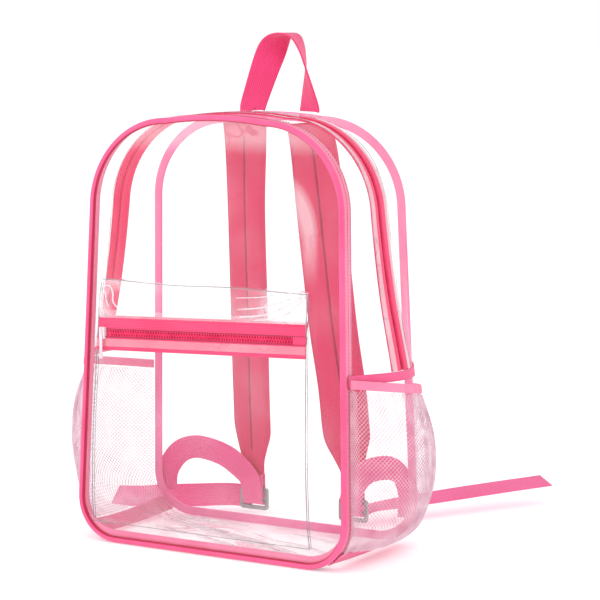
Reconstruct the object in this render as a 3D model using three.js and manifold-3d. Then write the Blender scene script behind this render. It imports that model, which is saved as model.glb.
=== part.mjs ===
// A clear stadium backpack of transparent film with pink trim, in millimetres.
// +Z is up, the front faces -Y, the back faces +Y, and the origin is the centre of the base's underside.
import * as THREE from 'three';
import * as BufferGeometryUtils from 'three/addons/utils/BufferGeometryUtils.js';
import Module from 'manifold-3d';

const wasm = await Module();
wasm.setup();

// Driving dimensions of the body.
const HEIGHT = 436;
const WIDTH_BOTTOM = 314;
const WIDTH_TOP = 294;
const DEPTH_BOTTOM = 151;
const DEPTH_TOP = 119;
const BACK_FLARE = 2.5;
const TOP_CORNER_RADIUS = 90;
const BOTTOM_CORNER_RADIUS = 45;
const TOP_ARCH = 4;
const SIDE_SWELL = 30;
const FILM = 1;
const TAPE = 1;
const GAP = 0.3;

// Seams and the main zipper.
const PIPING_DIAMETER = 6.4;
const SEAM_TAPE_WIDTH = 11;
const BINDING_WIDTH = 9;
const BINDING_THICKNESS = 3.2;
const ZIPPER_PLACE = 0.515;
const ZIPPER_TAPE_WIDTH = 12;
const COIL_WIDTH = 6;
const COIL_THICKNESS = 3;
const ZIPPER_END_HEIGHT = 190;
const CROSS_TAPE_WIDTH = 9;
const SLIDER_LENGTH = 14;
const SLIDER_WIDTH = 9;
const SLIDER_THICKNESS = 5;
const PULL_LENGTH = 24;
const PULL_WIDTH = 6;
const PULL_THICKNESS = 1.2;

// Front pocket.
const POCKET_WIDTH_TOP = 238;
const POCKET_WIDTH_BOTTOM = 252;
const POCKET_DEPTH = 20;
const POCKET_BASE_HEIGHT = 24;
const POCKET_ZIPPER_HEIGHT = 221;
const POCKET_SEAM_HEIGHT = POCKET_ZIPPER_HEIGHT + 49;
const POCKET_ZIPPER_RISE = 8;
const POCKET_TAPE_WIDTH = 13;
const POCKET_COIL_WIDTH = 8;
const POCKET_COIL_THICKNESS = 2.4;
const POCKET_END_TAB = 14;

// Side pockets.
const SIDE_POCKET_RIM_HEIGHT = 187;
const SIDE_POCKET_RIM_DROP = 20;
const SIDE_POCKET_BASE_HEIGHT = 18;
const SIDE_POCKET_SWELL = 17;
const SIDE_POCKET_RIM_SWELL = 8;
const RIM_BAND_WIDTH = 9;
const RIM_BAND_THICKNESS = 2.4;
const BASE_BAND_BOTTOM = 6;
const MESH = 1.2;

// Straps, webbing and buckles.
const STRAP_WIDTH = 52;
const STRAP_THICKNESS = 8;
const STRAP_TOP = HEIGHT - 11;
const STRAP_TIP = 31;
const STRAP_TOP_ACROSS = 38;
const STRAP_TIP_WIDTH = 25;
const STRAP_TIP_THICKNESS = 3;
const WEBBING_WIDTH = 25;
const WEBBING_THICKNESS = 1.5;
const WEBBING_SEAM_ACROSS = 147;
const BUCKLE_ACROSS = 61;
const BUCKLE_BEHIND = 42;
const BUCKLE_BASE = 4;
const BUCKLE_WIDTH = 34;
const BUCKLE_THICKNESS = 3.2;
const BUCKLE_CORNER = 3;
const BUCKLE_BAR = 4;
const BUCKLE_SIDE = 3.5;
const UPPER_SLOT = 7;
const LOWER_SLOT = 5;
const TAB_LENGTH = 12;
const BOW_HEIGHT = 71;
const SLOT_STANDOFF = 6.4;
const SLOT_LEAD = 11;
const RIGHT_TAIL = { across: 127, back: 212, height: 23 };
const LEFT_TAIL = { across: 160, back: 36, height: 14.5 };

// Haul handle.
const HANDLE_SPAN = 67;
const HANDLE_HEIGHT = 78;
const HANDLE_OFFSET = 8;
const HANDLE_WEBBING = 30;
const HANDLE_THICKNESS = 2;

// Materials.
const film = () => new THREE.MeshStandardMaterial({
  color: 0xf6f4f6, roughness: 0.08, metalness: 0, transparent: true, opacity: 0.25,
});
const pink = () => new THREE.MeshStandardMaterial({ color: 0xf25a8c, roughness: 0.85, metalness: 0 });
const brightPink = () => new THREE.MeshStandardMaterial({ color: 0xf23a72, roughness: 0.7, metalness: 0 });
const net = () => new THREE.MeshStandardMaterial({
  color: 0xfbe9ef, roughness: 0.9, metalness: 0, transparent: true, opacity: 0.5,
});
const greyPlastic = () => new THREE.MeshStandardMaterial({ color: 0x6f7370, roughness: 0.5, metalness: 0 });
const paintedMetal = () => new THREE.MeshStandardMaterial({
  color: 0xf4e8ec, roughness: 0.35, metalness: 0.2,
});

const bag = new THREE.Group();

function addMesh(name, geometry, material) {
  const mesh = new THREE.Mesh(geometry, material);
  mesh.name = name;
  bag.add(mesh);
}

const SIDES = [{ side: 'left', sign: -1 }, { side: 'right', sign: 1 }];
const mix = (a, b, t) => a + (b - a) * t;
const clamp01 = (t) => Math.min(1, Math.max(0, t));
const steps = (count) => Array.from({ length: count + 1 }, (_, i) => i / count);
const vec = (x, y, z) => new THREE.Vector3(x, y, z);

// Reads one column of a short table with a smooth curve through its rows, placed by their column at.
function readTable(rows, at, column) {
  let i = 0;
  while (i < rows.length - 2 && at > rows[i + 1].at) i += 1;
  const before = rows[Math.max(i - 1, 0)];
  const a = rows[i];
  const b = rows[i + 1];
  const after = rows[Math.min(i + 2, rows.length - 1)];
  const step = b.at - a.at;
  const t = clamp01((at - a.at) / step);
  const slopeA = (b[column] - before[column]) / (b.at - before.at);
  const slopeB = (after[column] - a[column]) / (after.at - a.at);
  const t2 = t * t;
  const t3 = t2 * t;
  const fromA = (2 * t3 - 3 * t2 + 1) * a[column] + (t3 - 2 * t2 + t) * step * slopeA;
  const fromB = (3 * t2 - 2 * t3) * b[column] + (t3 - t2) * step * slopeB;
  return fromA + fromB;
}

// Turns the faces outward by the sign of the enclosed volume.
function closedGeometry(positions, index) {
  const corner = (i) => new THREE.Vector3().fromArray(positions, i * 3);
  const faces = [...index];
  let volume = 0;
  for (let i = 0; i < faces.length; i += 3) {
    volume += corner(faces[i]).dot(corner(faces[i + 1]).cross(corner(faces[i + 2])));
  }
  if (volume < 0) faces.reverse();
  const geometry = new THREE.BufferGeometry();
  geometry.setAttribute('position', new THREE.Float32BufferAttribute(positions, 3));
  geometry.setIndex(faces);
  geometry.computeVertexNormals();
  return geometry;
}

// Joins loops of points into one closed solid. Each loop has an upper and a lower row of equal length.
function loft(loops, isRing = false) {
  const count = loops[0].upper.length;
  const size = count * 2;
  const positions = [];
  for (const { upper, lower } of loops) {
    for (const p of [...upper, ...[...lower].reverse()]) positions.push(p.x, p.y, p.z);
  }
  const index = [];
  const quad = (a, b, c, d) => index.push(a, b, c, a, c, d);
  const spans = isRing ? loops.length : loops.length - 1;
  for (let i = 0; i < spans; i += 1) {
    const here = i * size;
    const next = ((i + 1) % loops.length) * size;
    for (let j = 0; j < size; j += 1) {
      const k = (j + 1) % size;
      // The lower row takes the upper row's diagonals, so that offset sheets stay parallel.
      if (j < count) quad(here + j, here + k, next + k, next + j);
      else quad(here + k, next + k, next + j, here + j);
    }
  }
  if (!isRing) {
    const last = (loops.length - 1) * size;
    for (let j = 0; j < count - 1; j += 1) {
      quad(j, size - 1 - j, size - 2 - j, j + 1);
      quad(last + j, last + j + 1, last + size - 2 - j, last + size - 1 - j);
    }
  }
  return closedGeometry(positions, index);
}

// Joins two closed solids that overlap into one.
function fuse(a, b) {
  const solid = (geometry) => {
    const bare = geometry.clone();
    bare.deleteAttribute('normal');
    const merged = BufferGeometryUtils.mergeVertices(bare, 1e-4);
    return new wasm.Manifold(new wasm.Mesh({
      numProp: 3,
      vertProperties: new Float32Array(merged.attributes.position.array),
      triVerts: new Uint32Array(merged.index.array),
    }));
  };
  const joined = solid(a).add(solid(b)).getMesh();
  const geometry = new THREE.BufferGeometry();
  geometry.setAttribute('position', new THREE.BufferAttribute(joined.vertProperties, 3));
  geometry.setIndex(new THREE.BufferAttribute(joined.triVerts, 1));
  geometry.computeVertexNormals();
  return geometry;
}

// The body's outline from the front: round lower corners, tapered sides, large top corners and a low arch.
const CORNER_BOTTOM = BOTTOM_CORNER_RADIUS;
const CORNER_TOP = HEIGHT - TOP_ARCH - TOP_CORNER_RADIUS;
const depthAt = (z) => mix(DEPTH_BOTTOM, DEPTH_TOP, z / HEIGHT);
const backAt = (z) => depthAt(z) / 2;
const sideShare = (z) => clamp01((z - CORNER_BOTTOM) / (CORNER_TOP - CORNER_BOTTOM));
const halfWidthAt = (z) => mix(WIDTH_BOTTOM, WIDTH_TOP, sideShare(z)) / 2;

function sideStation(z) {
  if (z < CORNER_BOTTOM) {
    const a = Math.asin(z / BOTTOM_CORNER_RADIUS - 1);
    const centre = WIDTH_BOTTOM / 2 - BOTTOM_CORNER_RADIUS;
    return { x: centre + BOTTOM_CORNER_RADIUS * Math.cos(a), z, nx: Math.cos(a), nz: Math.sin(a) };
  }
  if (z > CORNER_TOP) {
    const a = Math.asin(Math.min(1, (z - CORNER_TOP) / TOP_CORNER_RADIUS));
    const centre = WIDTH_TOP / 2 - TOP_CORNER_RADIUS;
    return { x: centre + TOP_CORNER_RADIUS * Math.cos(a), z, nx: Math.cos(a), nz: Math.sin(a) };
  }
  return { x: halfWidthAt(z), z, nx: 1, nz: 0 };
}

// The stations up one side from one height to another, with one at each edge of the trim on the gusset.
const CROSS_TAPE_TOP = ZIPPER_END_HEIGHT - GAP;
const CROSS_TAPE_BOTTOM = CROSS_TAPE_TOP - CROSS_TAPE_WIDTH;
const BASE_BAND_TOP = SIDE_POCKET_BASE_HEIGHT - GAP;
const TRIM_EDGES = [BASE_BAND_BOTTOM, BASE_BAND_TOP, CROSS_TAPE_BOTTOM];
function sideRun(from, to) {
  const lower = steps(6).map((t) => CORNER_BOTTOM * (1 - Math.cos(t * Math.PI / 2)));
  const middle = steps(7).map((t) => mix(CORNER_BOTTOM, CORNER_TOP, t));
  const upper = steps(7).map((t) => CORNER_TOP + TOP_CORNER_RADIUS * Math.sin(t * Math.PI / 2));
  const fixed = [from, ...TRIM_EDGES.filter((z) => z > from && z < to), to];
  const knots = [...lower, ...middle.slice(1), ...upper.slice(1)];
  const inside = knots.filter((z) => z > from && z < to && fixed.every((edge) => Math.abs(edge - z) > 3));
  return [...fixed, ...inside].sort((a, b) => a - b).map(sideStation);
}

const mirrored = (stations) => stations.map((s) => ({ ...s, x: -s.x, nx: -s.nx })).reverse();
const TOP_OF_CORNER = CORNER_TOP + TOP_CORNER_RADIUS;
const ARCH_HALF = WIDTH_TOP / 2 - TOP_CORNER_RADIUS;
const BASE_HALF = WIDTH_BOTTOM / 2 - BOTTOM_CORNER_RADIUS;
const archHeight = (t) => TOP_OF_CORNER + TOP_ARCH * (1 - t * t);
const archRun = [0.5, 0, -0.5].map((t) => ({ x: ARCH_HALF * t, z: archHeight(t), nx: 0, nz: 1 }));
const baseRun = [-0.67, -0.33, 0, 0.33, 0.67].map((t) => ({ x: BASE_HALF * t, z: 0, nx: 0, nz: -1 }));

function overTheTop(from) {
  const right = sideRun(from, TOP_OF_CORNER);
  return [...right, ...archRun, ...mirrored(right)];
}

function underTheBase(to) {
  const right = sideRun(0, to);
  return [...mirrored(right), ...baseRun, ...right];
}

const upperHalf = overTheTop(CORNER_BOTTOM);
const lowerHalf = underTheBase(CORNER_BOTTOM);
const wholeOutline = [...upperHalf, ...lowerHalf.slice(1, -1)];

// How far the sides swell outward at mid depth, by height.
const SIDE_FORM = [
  { at: 0.00, swell: 0.00 },
  { at: 0.04, swell: 0.22 },
  { at: 0.10, swell: 0.62 },
  { at: 0.20, swell: 0.93 },
  { at: 0.33, swell: 1.00 },
  { at: 0.44, swell: 0.82 },
  { at: 0.60, swell: 0.41 },
  { at: 0.76, swell: 0.15 },
  { at: 0.92, swell: 0.01 },
  { at: 1.00, swell: 0.00 },
];

// The gusset starts behind the piping and ends before the binding.
const GUSSET_FRONT_EDGE = PIPING_DIAMETER + GAP;
const GUSSET_BACK_EDGE = BINDING_THICKNESS + GAP;
const SWELL_START = GUSSET_FRONT_EDGE + SEAM_TAPE_WIDTH + GAP;
const SWELL_END = GUSSET_BACK_EDGE;

// A point of the gusset: a station of the outline, the distance behind the front and an outward offset.
function gussetPoint(station, behindFront, outward) {
  const depth = depthAt(station.z);
  const share = behindFront / depth;
  const across = clamp01((behindFront - SWELL_START) / (depth - SWELL_START - SWELL_END));
  const most = SIDE_SWELL * readTable(SIDE_FORM, station.z / HEIGHT, 'swell');
  const shift = most * Math.sin(Math.PI * across) + outward;
  return vec(
    station.x + station.nx * (shift + BACK_FLARE * share),
    behindFront - depth / 2,
    station.z + station.nz * shift,
  );
}

// A band of sheet on the gusset. Its lines are distances behind the front, each a function of the height.
function gussetBand(stations, lines, outer, thickness, isRing = false) {
  const loops = stations.map((station) => {
    const row = (outward) => lines.map((line) => gussetPoint(station, line(station.z), outward));
    return { upper: row(outer), lower: row(outer - thickness) };
  });
  return loft(loops, isRing);
}

const fromFront = (distance) => () => distance;
const fromBack = (distance) => (z) => depthAt(z) - distance;
const fromZipper = (distance) => (z) => ZIPPER_PLACE * depthAt(z) + distance;
const between = (near, far, count) => steps(count).map((t) => (z) => mix(near(z), far(z), t));
const WHOLE_GUSSET = [
  fromFront(GUSSET_FRONT_EDGE),
  ...between(fromFront(SWELL_START), fromBack(GUSSET_BACK_EDGE), 7),
];

// Front and back panels: flat plates of film inside their piping and binding.
function plate(inset, behindFront) {
  const rim = wholeOutline.map((s) => gussetPoint(s, behindFront(s.z), -inset));
  const middle = vec(0, 0, HEIGHT / 2);
  const positions = [];
  const layer = (z, outward) => behindFront(z) + outward - depthAt(z) / 2;
  for (const outward of [-FILM / 2, FILM / 2]) {
    for (const p of rim) positions.push(p.x, layer(p.z, outward), p.z);
    positions.push(middle.x, layer(middle.z, outward), middle.z);
  }
  const count = rim.length;
  const index = [];
  for (let i = 0; i < count; i += 1) {
    const next = (i + 1) % count;
    const other = count + 1;
    index.push(i, next, count);
    index.push(other + next, other + i, other + count);
    index.push(i, other + i, next, next, other + i, other + next);
  }
  return closedGeometry(positions, index);
}

const FRONT_PANEL_BEHIND = PIPING_DIAMETER / 2;
addMesh('front_panel', plate(PIPING_DIAMETER + GAP, fromFront(FRONT_PANEL_BEHIND)), film());
addMesh('back_panel', plate(BINDING_WIDTH + GAP, fromBack(BINDING_THICKNESS / 2)), film());

// The round piping on the front seam, a ring of eight-sided section measured across its flats.
function piping() {
  const middle = PIPING_DIAMETER / 2;
  const turn = Math.PI / 8;
  const reach = middle / Math.cos(turn);
  const loops = wholeOutline.map((station) => {
    const around = (side) => [7, 5, 3, 1].map((count) => gussetPoint(
      station,
      middle + reach * Math.cos(count * turn),
      -middle + side * reach * Math.sin(count * turn),
    ));
    return { upper: around(1), lower: around(-1) };
  });
  return loft(loops, true);
}
addMesh('front_piping', piping(), pink());

// The flat tape inside the front seam and the binding on the back seam.
addMesh('front_seam_tape', gussetBand(
  wholeOutline,
  [fromFront(GUSSET_FRONT_EDGE), fromFront(GUSSET_FRONT_EDGE + SEAM_TAPE_WIDTH)],
  -FILM - GAP,
  TAPE,
  true,
), pink());
addMesh('back_seam_binding', gussetBand(
  wholeOutline,
  [fromBack(BINDING_THICKNESS), fromBack(0)],
  0,
  BINDING_WIDTH,
  true,
), pink());

// The clear gusset: two bands beside the zipper, over the top and down the sides, and one band below.
const zipperRun = overTheTop(ZIPPER_END_HEIGHT);
const COIL_EDGE = COIL_WIDTH / 2 + GAP;
const TAPE_EDGE = COIL_EDGE + ZIPPER_TAPE_WIDTH;
addMesh('gusset_front', gussetBand(
  zipperRun,
  [fromFront(GUSSET_FRONT_EDGE), ...between(fromFront(SWELL_START), fromZipper(-TAPE_EDGE - GAP), 3)],
  0,
  FILM,
), film());
addMesh('gusset_rear', gussetBand(
  zipperRun,
  between(fromZipper(TAPE_EDGE + GAP), fromBack(GUSSET_BACK_EDGE), 4),
  0,
  FILM,
), film());
addMesh('gusset_lower', gussetBand(
  underTheBase(CROSS_TAPE_TOP),
  WHOLE_GUSSET,
  0,
  FILM,
), film());

// The main zipper: two tapes and the coil between them, with the closed slider at the left end.
addMesh('main_zipper_tape_front', gussetBand(
  zipperRun,
  [fromZipper(-TAPE_EDGE), fromZipper(-COIL_EDGE)],
  0,
  TAPE,
), pink());
addMesh('main_zipper_tape_rear', gussetBand(
  zipperRun,
  [fromZipper(COIL_EDGE), fromZipper(TAPE_EDGE)],
  0,
  TAPE,
), pink());

const SLIDER_TOP = ZIPPER_END_HEIGHT + SLIDER_LENGTH;
const coilRun = [
  ...sideRun(ZIPPER_END_HEIGHT, TOP_OF_CORNER),
  ...archRun,
  ...mirrored(sideRun(SLIDER_TOP + GAP, TOP_OF_CORNER)),
];
addMesh('main_zipper_coil', gussetBand(
  coilRun,
  [fromZipper(-COIL_WIDTH / 2), fromZipper(COIL_WIDTH / 2)],
  COIL_THICKNESS / 2 - FILM / 2,
  COIL_THICKNESS,
), brightPink());

function mainSlider() {
  const body = gussetBand(
    mirrored(sideRun(ZIPPER_END_HEIGHT, SLIDER_TOP)),
    [fromZipper(-SLIDER_WIDTH / 2), fromZipper(SLIDER_WIDTH / 2)],
    GAP + SLIDER_THICKNESS,
    SLIDER_THICKNESS,
  );
  const hang = SLIDER_TOP - SLIDER_THICKNESS;
  const pull = gussetBand(
    mirrored(sideRun(hang - PULL_LENGTH, hang)),
    [fromZipper(-PULL_WIDTH / 2), fromZipper(PULL_WIDTH / 2)],
    SLIDER_THICKNESS + PULL_THICKNESS,
    2 * PULL_THICKNESS,
  );
  return fuse(body, pull);
}
addMesh('main_zipper_slider', mainSlider(), paintedMetal());

// The pink strips across the gusset where the zipper ends.
for (const { side, sign } of SIDES) {
  const rise = sideRun(CROSS_TAPE_BOTTOM, CROSS_TAPE_TOP);
  const stations = sign > 0 ? rise : mirrored(rise);
  addMesh(`cross_seam_tape_${side}`, gussetBand(
    stations,
    WHOLE_GUSSET,
    TAPE + GAP,
    TAPE,
  ), pink());
}

// Side pockets: a net wall that swells out from the gusset, an elastic rim and a strip below.
const SIDE_POCKET_FORM = [
  { at: 0.00, swell: 0.05 },
  { at: 0.18, swell: 0.70 },
  { at: 0.45, swell: 1.00 },
  { at: 0.75, swell: 0.86 },
  { at: 1.00, swell: SIDE_POCKET_RIM_SWELL / SIDE_POCKET_SWELL },
];
const POCKET_BACK_LEAN = 1.25;
const NET_INNER = TAPE + 3 * GAP;
const NET_COLUMNS = 9;
const rimHeight = (share) => SIDE_POCKET_RIM_HEIGHT - SIDE_POCKET_RIM_DROP * share;

function sidePocketPoint(sign, up, share, outward) {
  const top = rimHeight(share) - RIM_BAND_WIDTH;
  const z = mix(SIDE_POCKET_BASE_HEIGHT, top, up);
  const station = sideStation(z);
  const near = GUSSET_FRONT_EDGE;
  const far = depthAt(z) - GUSSET_BACK_EDGE;
  const bulge = Math.sin(Math.PI * share ** POCKET_BACK_LEAN);
  const swell = SIDE_POCKET_SWELL * readTable(SIDE_POCKET_FORM, clamp01(up), 'swell') * bulge;
  const p = gussetPoint(station, mix(near, far, share), swell + outward);
  return vec(sign * p.x, p.y, p.z);
}

const NET_TOP = rimHeight(0.5) - RIM_BAND_WIDTH;
const NET_ROWS = sideRun(SIDE_POCKET_BASE_HEIGHT, NET_TOP).map(
  (station) => (station.z - SIDE_POCKET_BASE_HEIGHT) / (NET_TOP - SIDE_POCKET_BASE_HEIGHT),
);

for (const { side, sign } of SIDES) {
  const wall = steps(NET_COLUMNS).map((share) => {
    const row = (outward) => NET_ROWS.map((up) => sidePocketPoint(sign, up, share, outward));
    return { upper: row(NET_INNER + MESH), lower: row(NET_INNER) };
  });
  addMesh(`side_pocket_${side}`, loft(wall), net());

  const bandOut = NET_INNER + MESH / 2 + RIM_BAND_THICKNESS / 2;
  const rim = steps(NET_COLUMNS).map((share) => {
    const reach = rimHeight(share) - RIM_BAND_WIDTH - SIDE_POCKET_BASE_HEIGHT;
    const row = (outward) => [GAP, RIM_BAND_WIDTH].map((height) => (
      sidePocketPoint(sign, 1 + height / reach, share, outward)
    ));
    return { upper: row(bandOut), lower: row(bandOut - RIM_BAND_THICKNESS) };
  });
  addMesh(`side_pocket_rim_${side}`, loft(rim), pink());

  const rise = sideRun(BASE_BAND_BOTTOM, BASE_BAND_TOP);
  addMesh(`side_pocket_base_${side}`, gussetBand(
    sign > 0 ? rise : mirrored(rise),
    WHOLE_GUSSET,
    TAPE + GAP,
    TAPE,
  ), pink());
}

// The front pocket stands out from the front panel. This table is its section, by height.
const POCKET_FORM = [
  { at: 0.00, out: 0.80 },
  { at: 0.12, out: 1.02 },
  { at: 0.40, out: 1.14 },
  { at: 0.65, out: 1.06 },
  { at: 0.80, out: 1.00 },
  { at: 0.90, out: 0.74 },
  { at: 1.00, out: 0.00 },
];
const panelFace = (z) => FRONT_PANEL_BEHIND - FILM / 2 - depthAt(z) / 2;
const pocketShare = (z) => (z - POCKET_BASE_HEIGHT) / (POCKET_SEAM_HEIGHT - POCKET_BASE_HEIGHT);
const pocketHalf = (z) => mix(POCKET_WIDTH_BOTTOM, POCKET_WIDTH_TOP, pocketShare(z)) / 2;
const pocketOut = (z) => GAP + FILM + POCKET_DEPTH * readTable(POCKET_FORM, clamp01(pocketShare(z)), 'out');
const zipperLine = (across) => POCKET_ZIPPER_HEIGHT + POCKET_ZIPPER_RISE * across / 2;

// A strip of sheet on the pocket's front between two heights at each share across, from -1 to 1.
function pocketStrip(acrossList, lowAt, highAt, rows, proud, thickness) {
  const loops = acrossList.map((across) => {
    const low = lowAt(across);
    const high = highAt(across);
    const row = (outward) => steps(rows).map((t) => {
      const z = mix(low, high, t);
      return vec(across * pocketHalf(z), panelFace(z) - pocketOut(z) - outward, z);
    });
    return { upper: row(proud), lower: row(proud - thickness) };
  });
  return loft(loops);
}

const acrossSteps = (from, to, count) => steps(count).map((t) => mix(from, to, t));
const POCKET_COIL_EDGE = POCKET_COIL_WIDTH / 2 + GAP;
const POCKET_TAPE_EDGE = POCKET_COIL_EDGE + POCKET_TAPE_WIDTH;
const tabShare = 1 - 2 * POCKET_END_TAB / POCKET_WIDTH_TOP;
const sliderShare = -1 + 2 * SLIDER_LENGTH / POCKET_WIDTH_TOP;
const gapShare = 2 * GAP / POCKET_WIDTH_TOP;

function frontPocket() {
  const loops = acrossSteps(-1, 1, 8).map((across) => {
    const top = zipperLine(across) - POCKET_TAPE_EDGE - GAP;
    const heights = steps(6).map((t) => mix(POCKET_BASE_HEIGHT, top, t));
    const outside = heights.map((z) => vec(across * pocketHalf(z), panelFace(z) - pocketOut(z), z));
    const inside = outside.map((p, i) => (
      vec(p.x, p.y + FILM, i === 0 ? p.z + FILM : p.z)
    ));
    const base = POCKET_BASE_HEIGHT;
    const edge = across * pocketHalf(base);
    const seamOutside = vec(edge, panelFace(base) - GAP, base);
    const seamInside = vec(edge, panelFace(base) - GAP, base + FILM);
    return { upper: [seamOutside, ...outside], lower: [seamInside, ...inside] };
  });
  return loft(loops);
}
addMesh('front_pocket', frontPocket(), film());

addMesh('pocket_zipper_tape_lower', pocketStrip(
  acrossSteps(-1, 1, 8),
  (across) => zipperLine(across) - POCKET_TAPE_EDGE,
  (across) => zipperLine(across) - POCKET_COIL_EDGE,
  1,
  0,
  TAPE,
), pink());
addMesh('pocket_zipper_tape_upper', pocketStrip(
  acrossSteps(-1, 1, 8),
  (across) => zipperLine(across) + POCKET_COIL_EDGE,
  (across) => zipperLine(across) + POCKET_TAPE_EDGE,
  2,
  0,
  TAPE,
), pink());
addMesh('pocket_zipper_coil', pocketStrip(
  acrossSteps(sliderShare + gapShare, tabShare - gapShare, 8),
  (across) => zipperLine(across) - POCKET_COIL_WIDTH / 2,
  (across) => zipperLine(across) + POCKET_COIL_WIDTH / 2,
  1,
  POCKET_COIL_THICKNESS / 2 - FILM / 2,
  POCKET_COIL_THICKNESS,
), brightPink());
addMesh('pocket_zipper_end_tab', pocketStrip(
  acrossSteps(tabShare, 1, 1),
  (across) => zipperLine(across) - POCKET_COIL_WIDTH / 2,
  (across) => zipperLine(across) + POCKET_COIL_WIDTH / 2,
  1,
  0,
  TAPE,
), pink());
addMesh('front_pocket_flap', pocketStrip(
  acrossSteps(-1, 1, 8),
  (across) => zipperLine(across) + POCKET_TAPE_EDGE + GAP,
  () => POCKET_SEAM_HEIGHT,
  4,
  0,
  FILM,
), film());

function pocketSlider() {
  const proud = GAP + SLIDER_THICKNESS;
  const body = pocketStrip(
    acrossSteps(-1, sliderShare, 1),
    (across) => zipperLine(across) - SLIDER_WIDTH / 2,
    (across) => zipperLine(across) + SLIDER_WIDTH / 2,
    1,
    proud,
    SLIDER_THICKNESS,
  );
  const pullShare = 2 * PULL_WIDTH / POCKET_WIDTH_TOP;
  const pull = pocketStrip(
    acrossSteps(-1, -1 + pullShare, 1),
    () => zipperLine(-1) - PULL_LENGTH,
    () => zipperLine(-1),
    1,
    SLIDER_THICKNESS + PULL_THICKNESS,
    2 * PULL_THICKNESS,
  );
  return fuse(body, pull);
}
addMesh('pocket_zipper_slider', pocketSlider(), paintedMetal());

// The pocket's side walls reach from the front panel to the back of the pocket's front.
for (const { side, sign } of SIDES) {
  const bottom = POCKET_BASE_HEIGHT + FILM + GAP;
  const top = mix(POCKET_BASE_HEIGHT, POCKET_SEAM_HEIGHT, 0.97);
  const loops = steps(10).map((t) => {
    const z = mix(bottom, top, t);
    const outerX = pocketHalf(z);
    const rear = panelFace(z) - GAP;
    const front = panelFace(z) - pocketOut(z) + TAPE + POCKET_COIL_THICKNESS / 2 + GAP;
    const row = (x) => [vec(sign * x, rear, z), vec(sign * x, Math.min(front, rear - 2 * GAP), z)];
    return { upper: row(outerX), lower: row(outerX - FILM) };
  });
  addMesh(`front_pocket_side_${side}`, loft(loops), film());
}

// Carries a section along rows of { p, w }: the middle of the strip and the direction of its width.
function strip(rows, perRow, halfWidthOf, halfThicknessOf, profile) {
  const table = rows.map((row, i) => ({ ...row, at: i / (rows.length - 1) }));
  const read = (at, column) => readTable(table, at, column);
  const middle = (at) => vec(read(at, 'x'), read(at, 'y'), read(at, 'z'));
  const loops = steps((rows.length - 1) * perRow).map((at) => {
    const small = 1e-3;
    const along = middle(Math.min(1, at + small)).sub(middle(Math.max(0, at - small))).normalize();
    const wide = vec(read(at, 'wx'), read(at, 'wy'), read(at, 'wz'));
    wide.addScaledVector(along, -wide.dot(along)).normalize();
    const normal = along.clone().cross(wide).normalize();
    const row = (side) => profile.map(({ across, thick }) => (
      middle(at)
        .addScaledVector(wide, across * halfWidthOf(at))
        .addScaledVector(normal, side * thick * halfThicknessOf(at))
    ));
    return { upper: row(1), lower: row(-1) };
  });
  return loft(loops);
}

const FLAT_PROFILE = [{ across: -1, thick: 1 }, { across: 1, thick: 1 }];
const PADDED_PROFILE = [
  { across: -1, thick: 0.25 },
  { across: -0.84, thick: 0.85 },
  { across: -0.4, thick: 1 },
  { across: 0, thick: 0.7 },
  { across: 0.4, thick: 1 },
  { across: 0.84, thick: 0.85 },
  { across: 1, thick: 0.25 },
];

// Shoulder straps: from the top of the back panel down and away to the buckles.
const BUCKLE_Y = backAt(0) + BUCKLE_BEHIND;
const STRAP_FORM = [
  { at: 0.00, across: 0.00, away: 0.000, turn: 0, wide: 1.00, thick: 0.00 },
  { at: 0.08, across: 0.13, away: 0.105, turn: 6, wide: 1.00, thick: 1.00 },
  { at: 0.23, across: 0.29, away: 0.200, turn: 12, wide: 1.00, thick: 1.00 },
  { at: 0.46, across: 0.48, away: 0.380, turn: 12, wide: 1.00, thick: 1.00 },
  { at: 0.57, across: 0.59, away: 0.485, turn: 12, wide: 1.00, thick: 1.00 },
  { at: 0.70, across: 0.76, away: 0.650, turn: 12, wide: 1.00, thick: 1.00 },
  { at: 0.81, across: 0.84, away: 0.760, turn: 12, wide: 1.00, thick: 1.00 },
  { at: 0.85, across: 0.87, away: 0.810, turn: 10, wide: 0.88, thick: 0.90 },
  { at: 0.89, across: 0.93, away: 0.860, turn: 6, wide: 0.48, thick: 0.55 },
  { at: 0.93, across: 0.98, away: 0.930, turn: 2, wide: 0.12, thick: 0.20 },
  { at: 0.965, across: 1.00, away: 1.000, turn: 0, wide: 0.00, thick: 0.00 },
  { at: 1.00, across: 1.00, away: 1.000, turn: 0, wide: 0.00, thick: 0.00 },
];

function shoulderStrap(sign) {
  const seat = GAP + STRAP_TIP_THICKNESS / 2;
  const rows = STRAP_FORM.map((row) => {
    const z = mix(STRAP_TOP, STRAP_TIP, row.at);
    const a = THREE.MathUtils.degToRad(row.turn);
    return {
      x: sign * mix(STRAP_TOP_ACROSS, BUCKLE_ACROSS, row.across),
      y: mix(backAt(z) + seat, BUCKLE_Y, row.away),
      z,
      wx: sign * Math.cos(a),
      wy: Math.sin(a),
      wz: 0,
    };
  });
  const rowAt = STRAP_FORM.map((row, i) => ({ ...row, at: i / (STRAP_FORM.length - 1) }));
  const halfWidth = (at) => mix(STRAP_TIP_WIDTH, STRAP_WIDTH, clamp01(readTable(rowAt, at, 'wide'))) / 2;
  const halfThickness = (at) => (
    mix(STRAP_TIP_THICKNESS, STRAP_THICKNESS, clamp01(readTable(rowAt, at, 'thick'))) / 2
  );
  return strip(rows, 2, halfWidth, halfThickness, PADDED_PROFILE);
}

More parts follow.
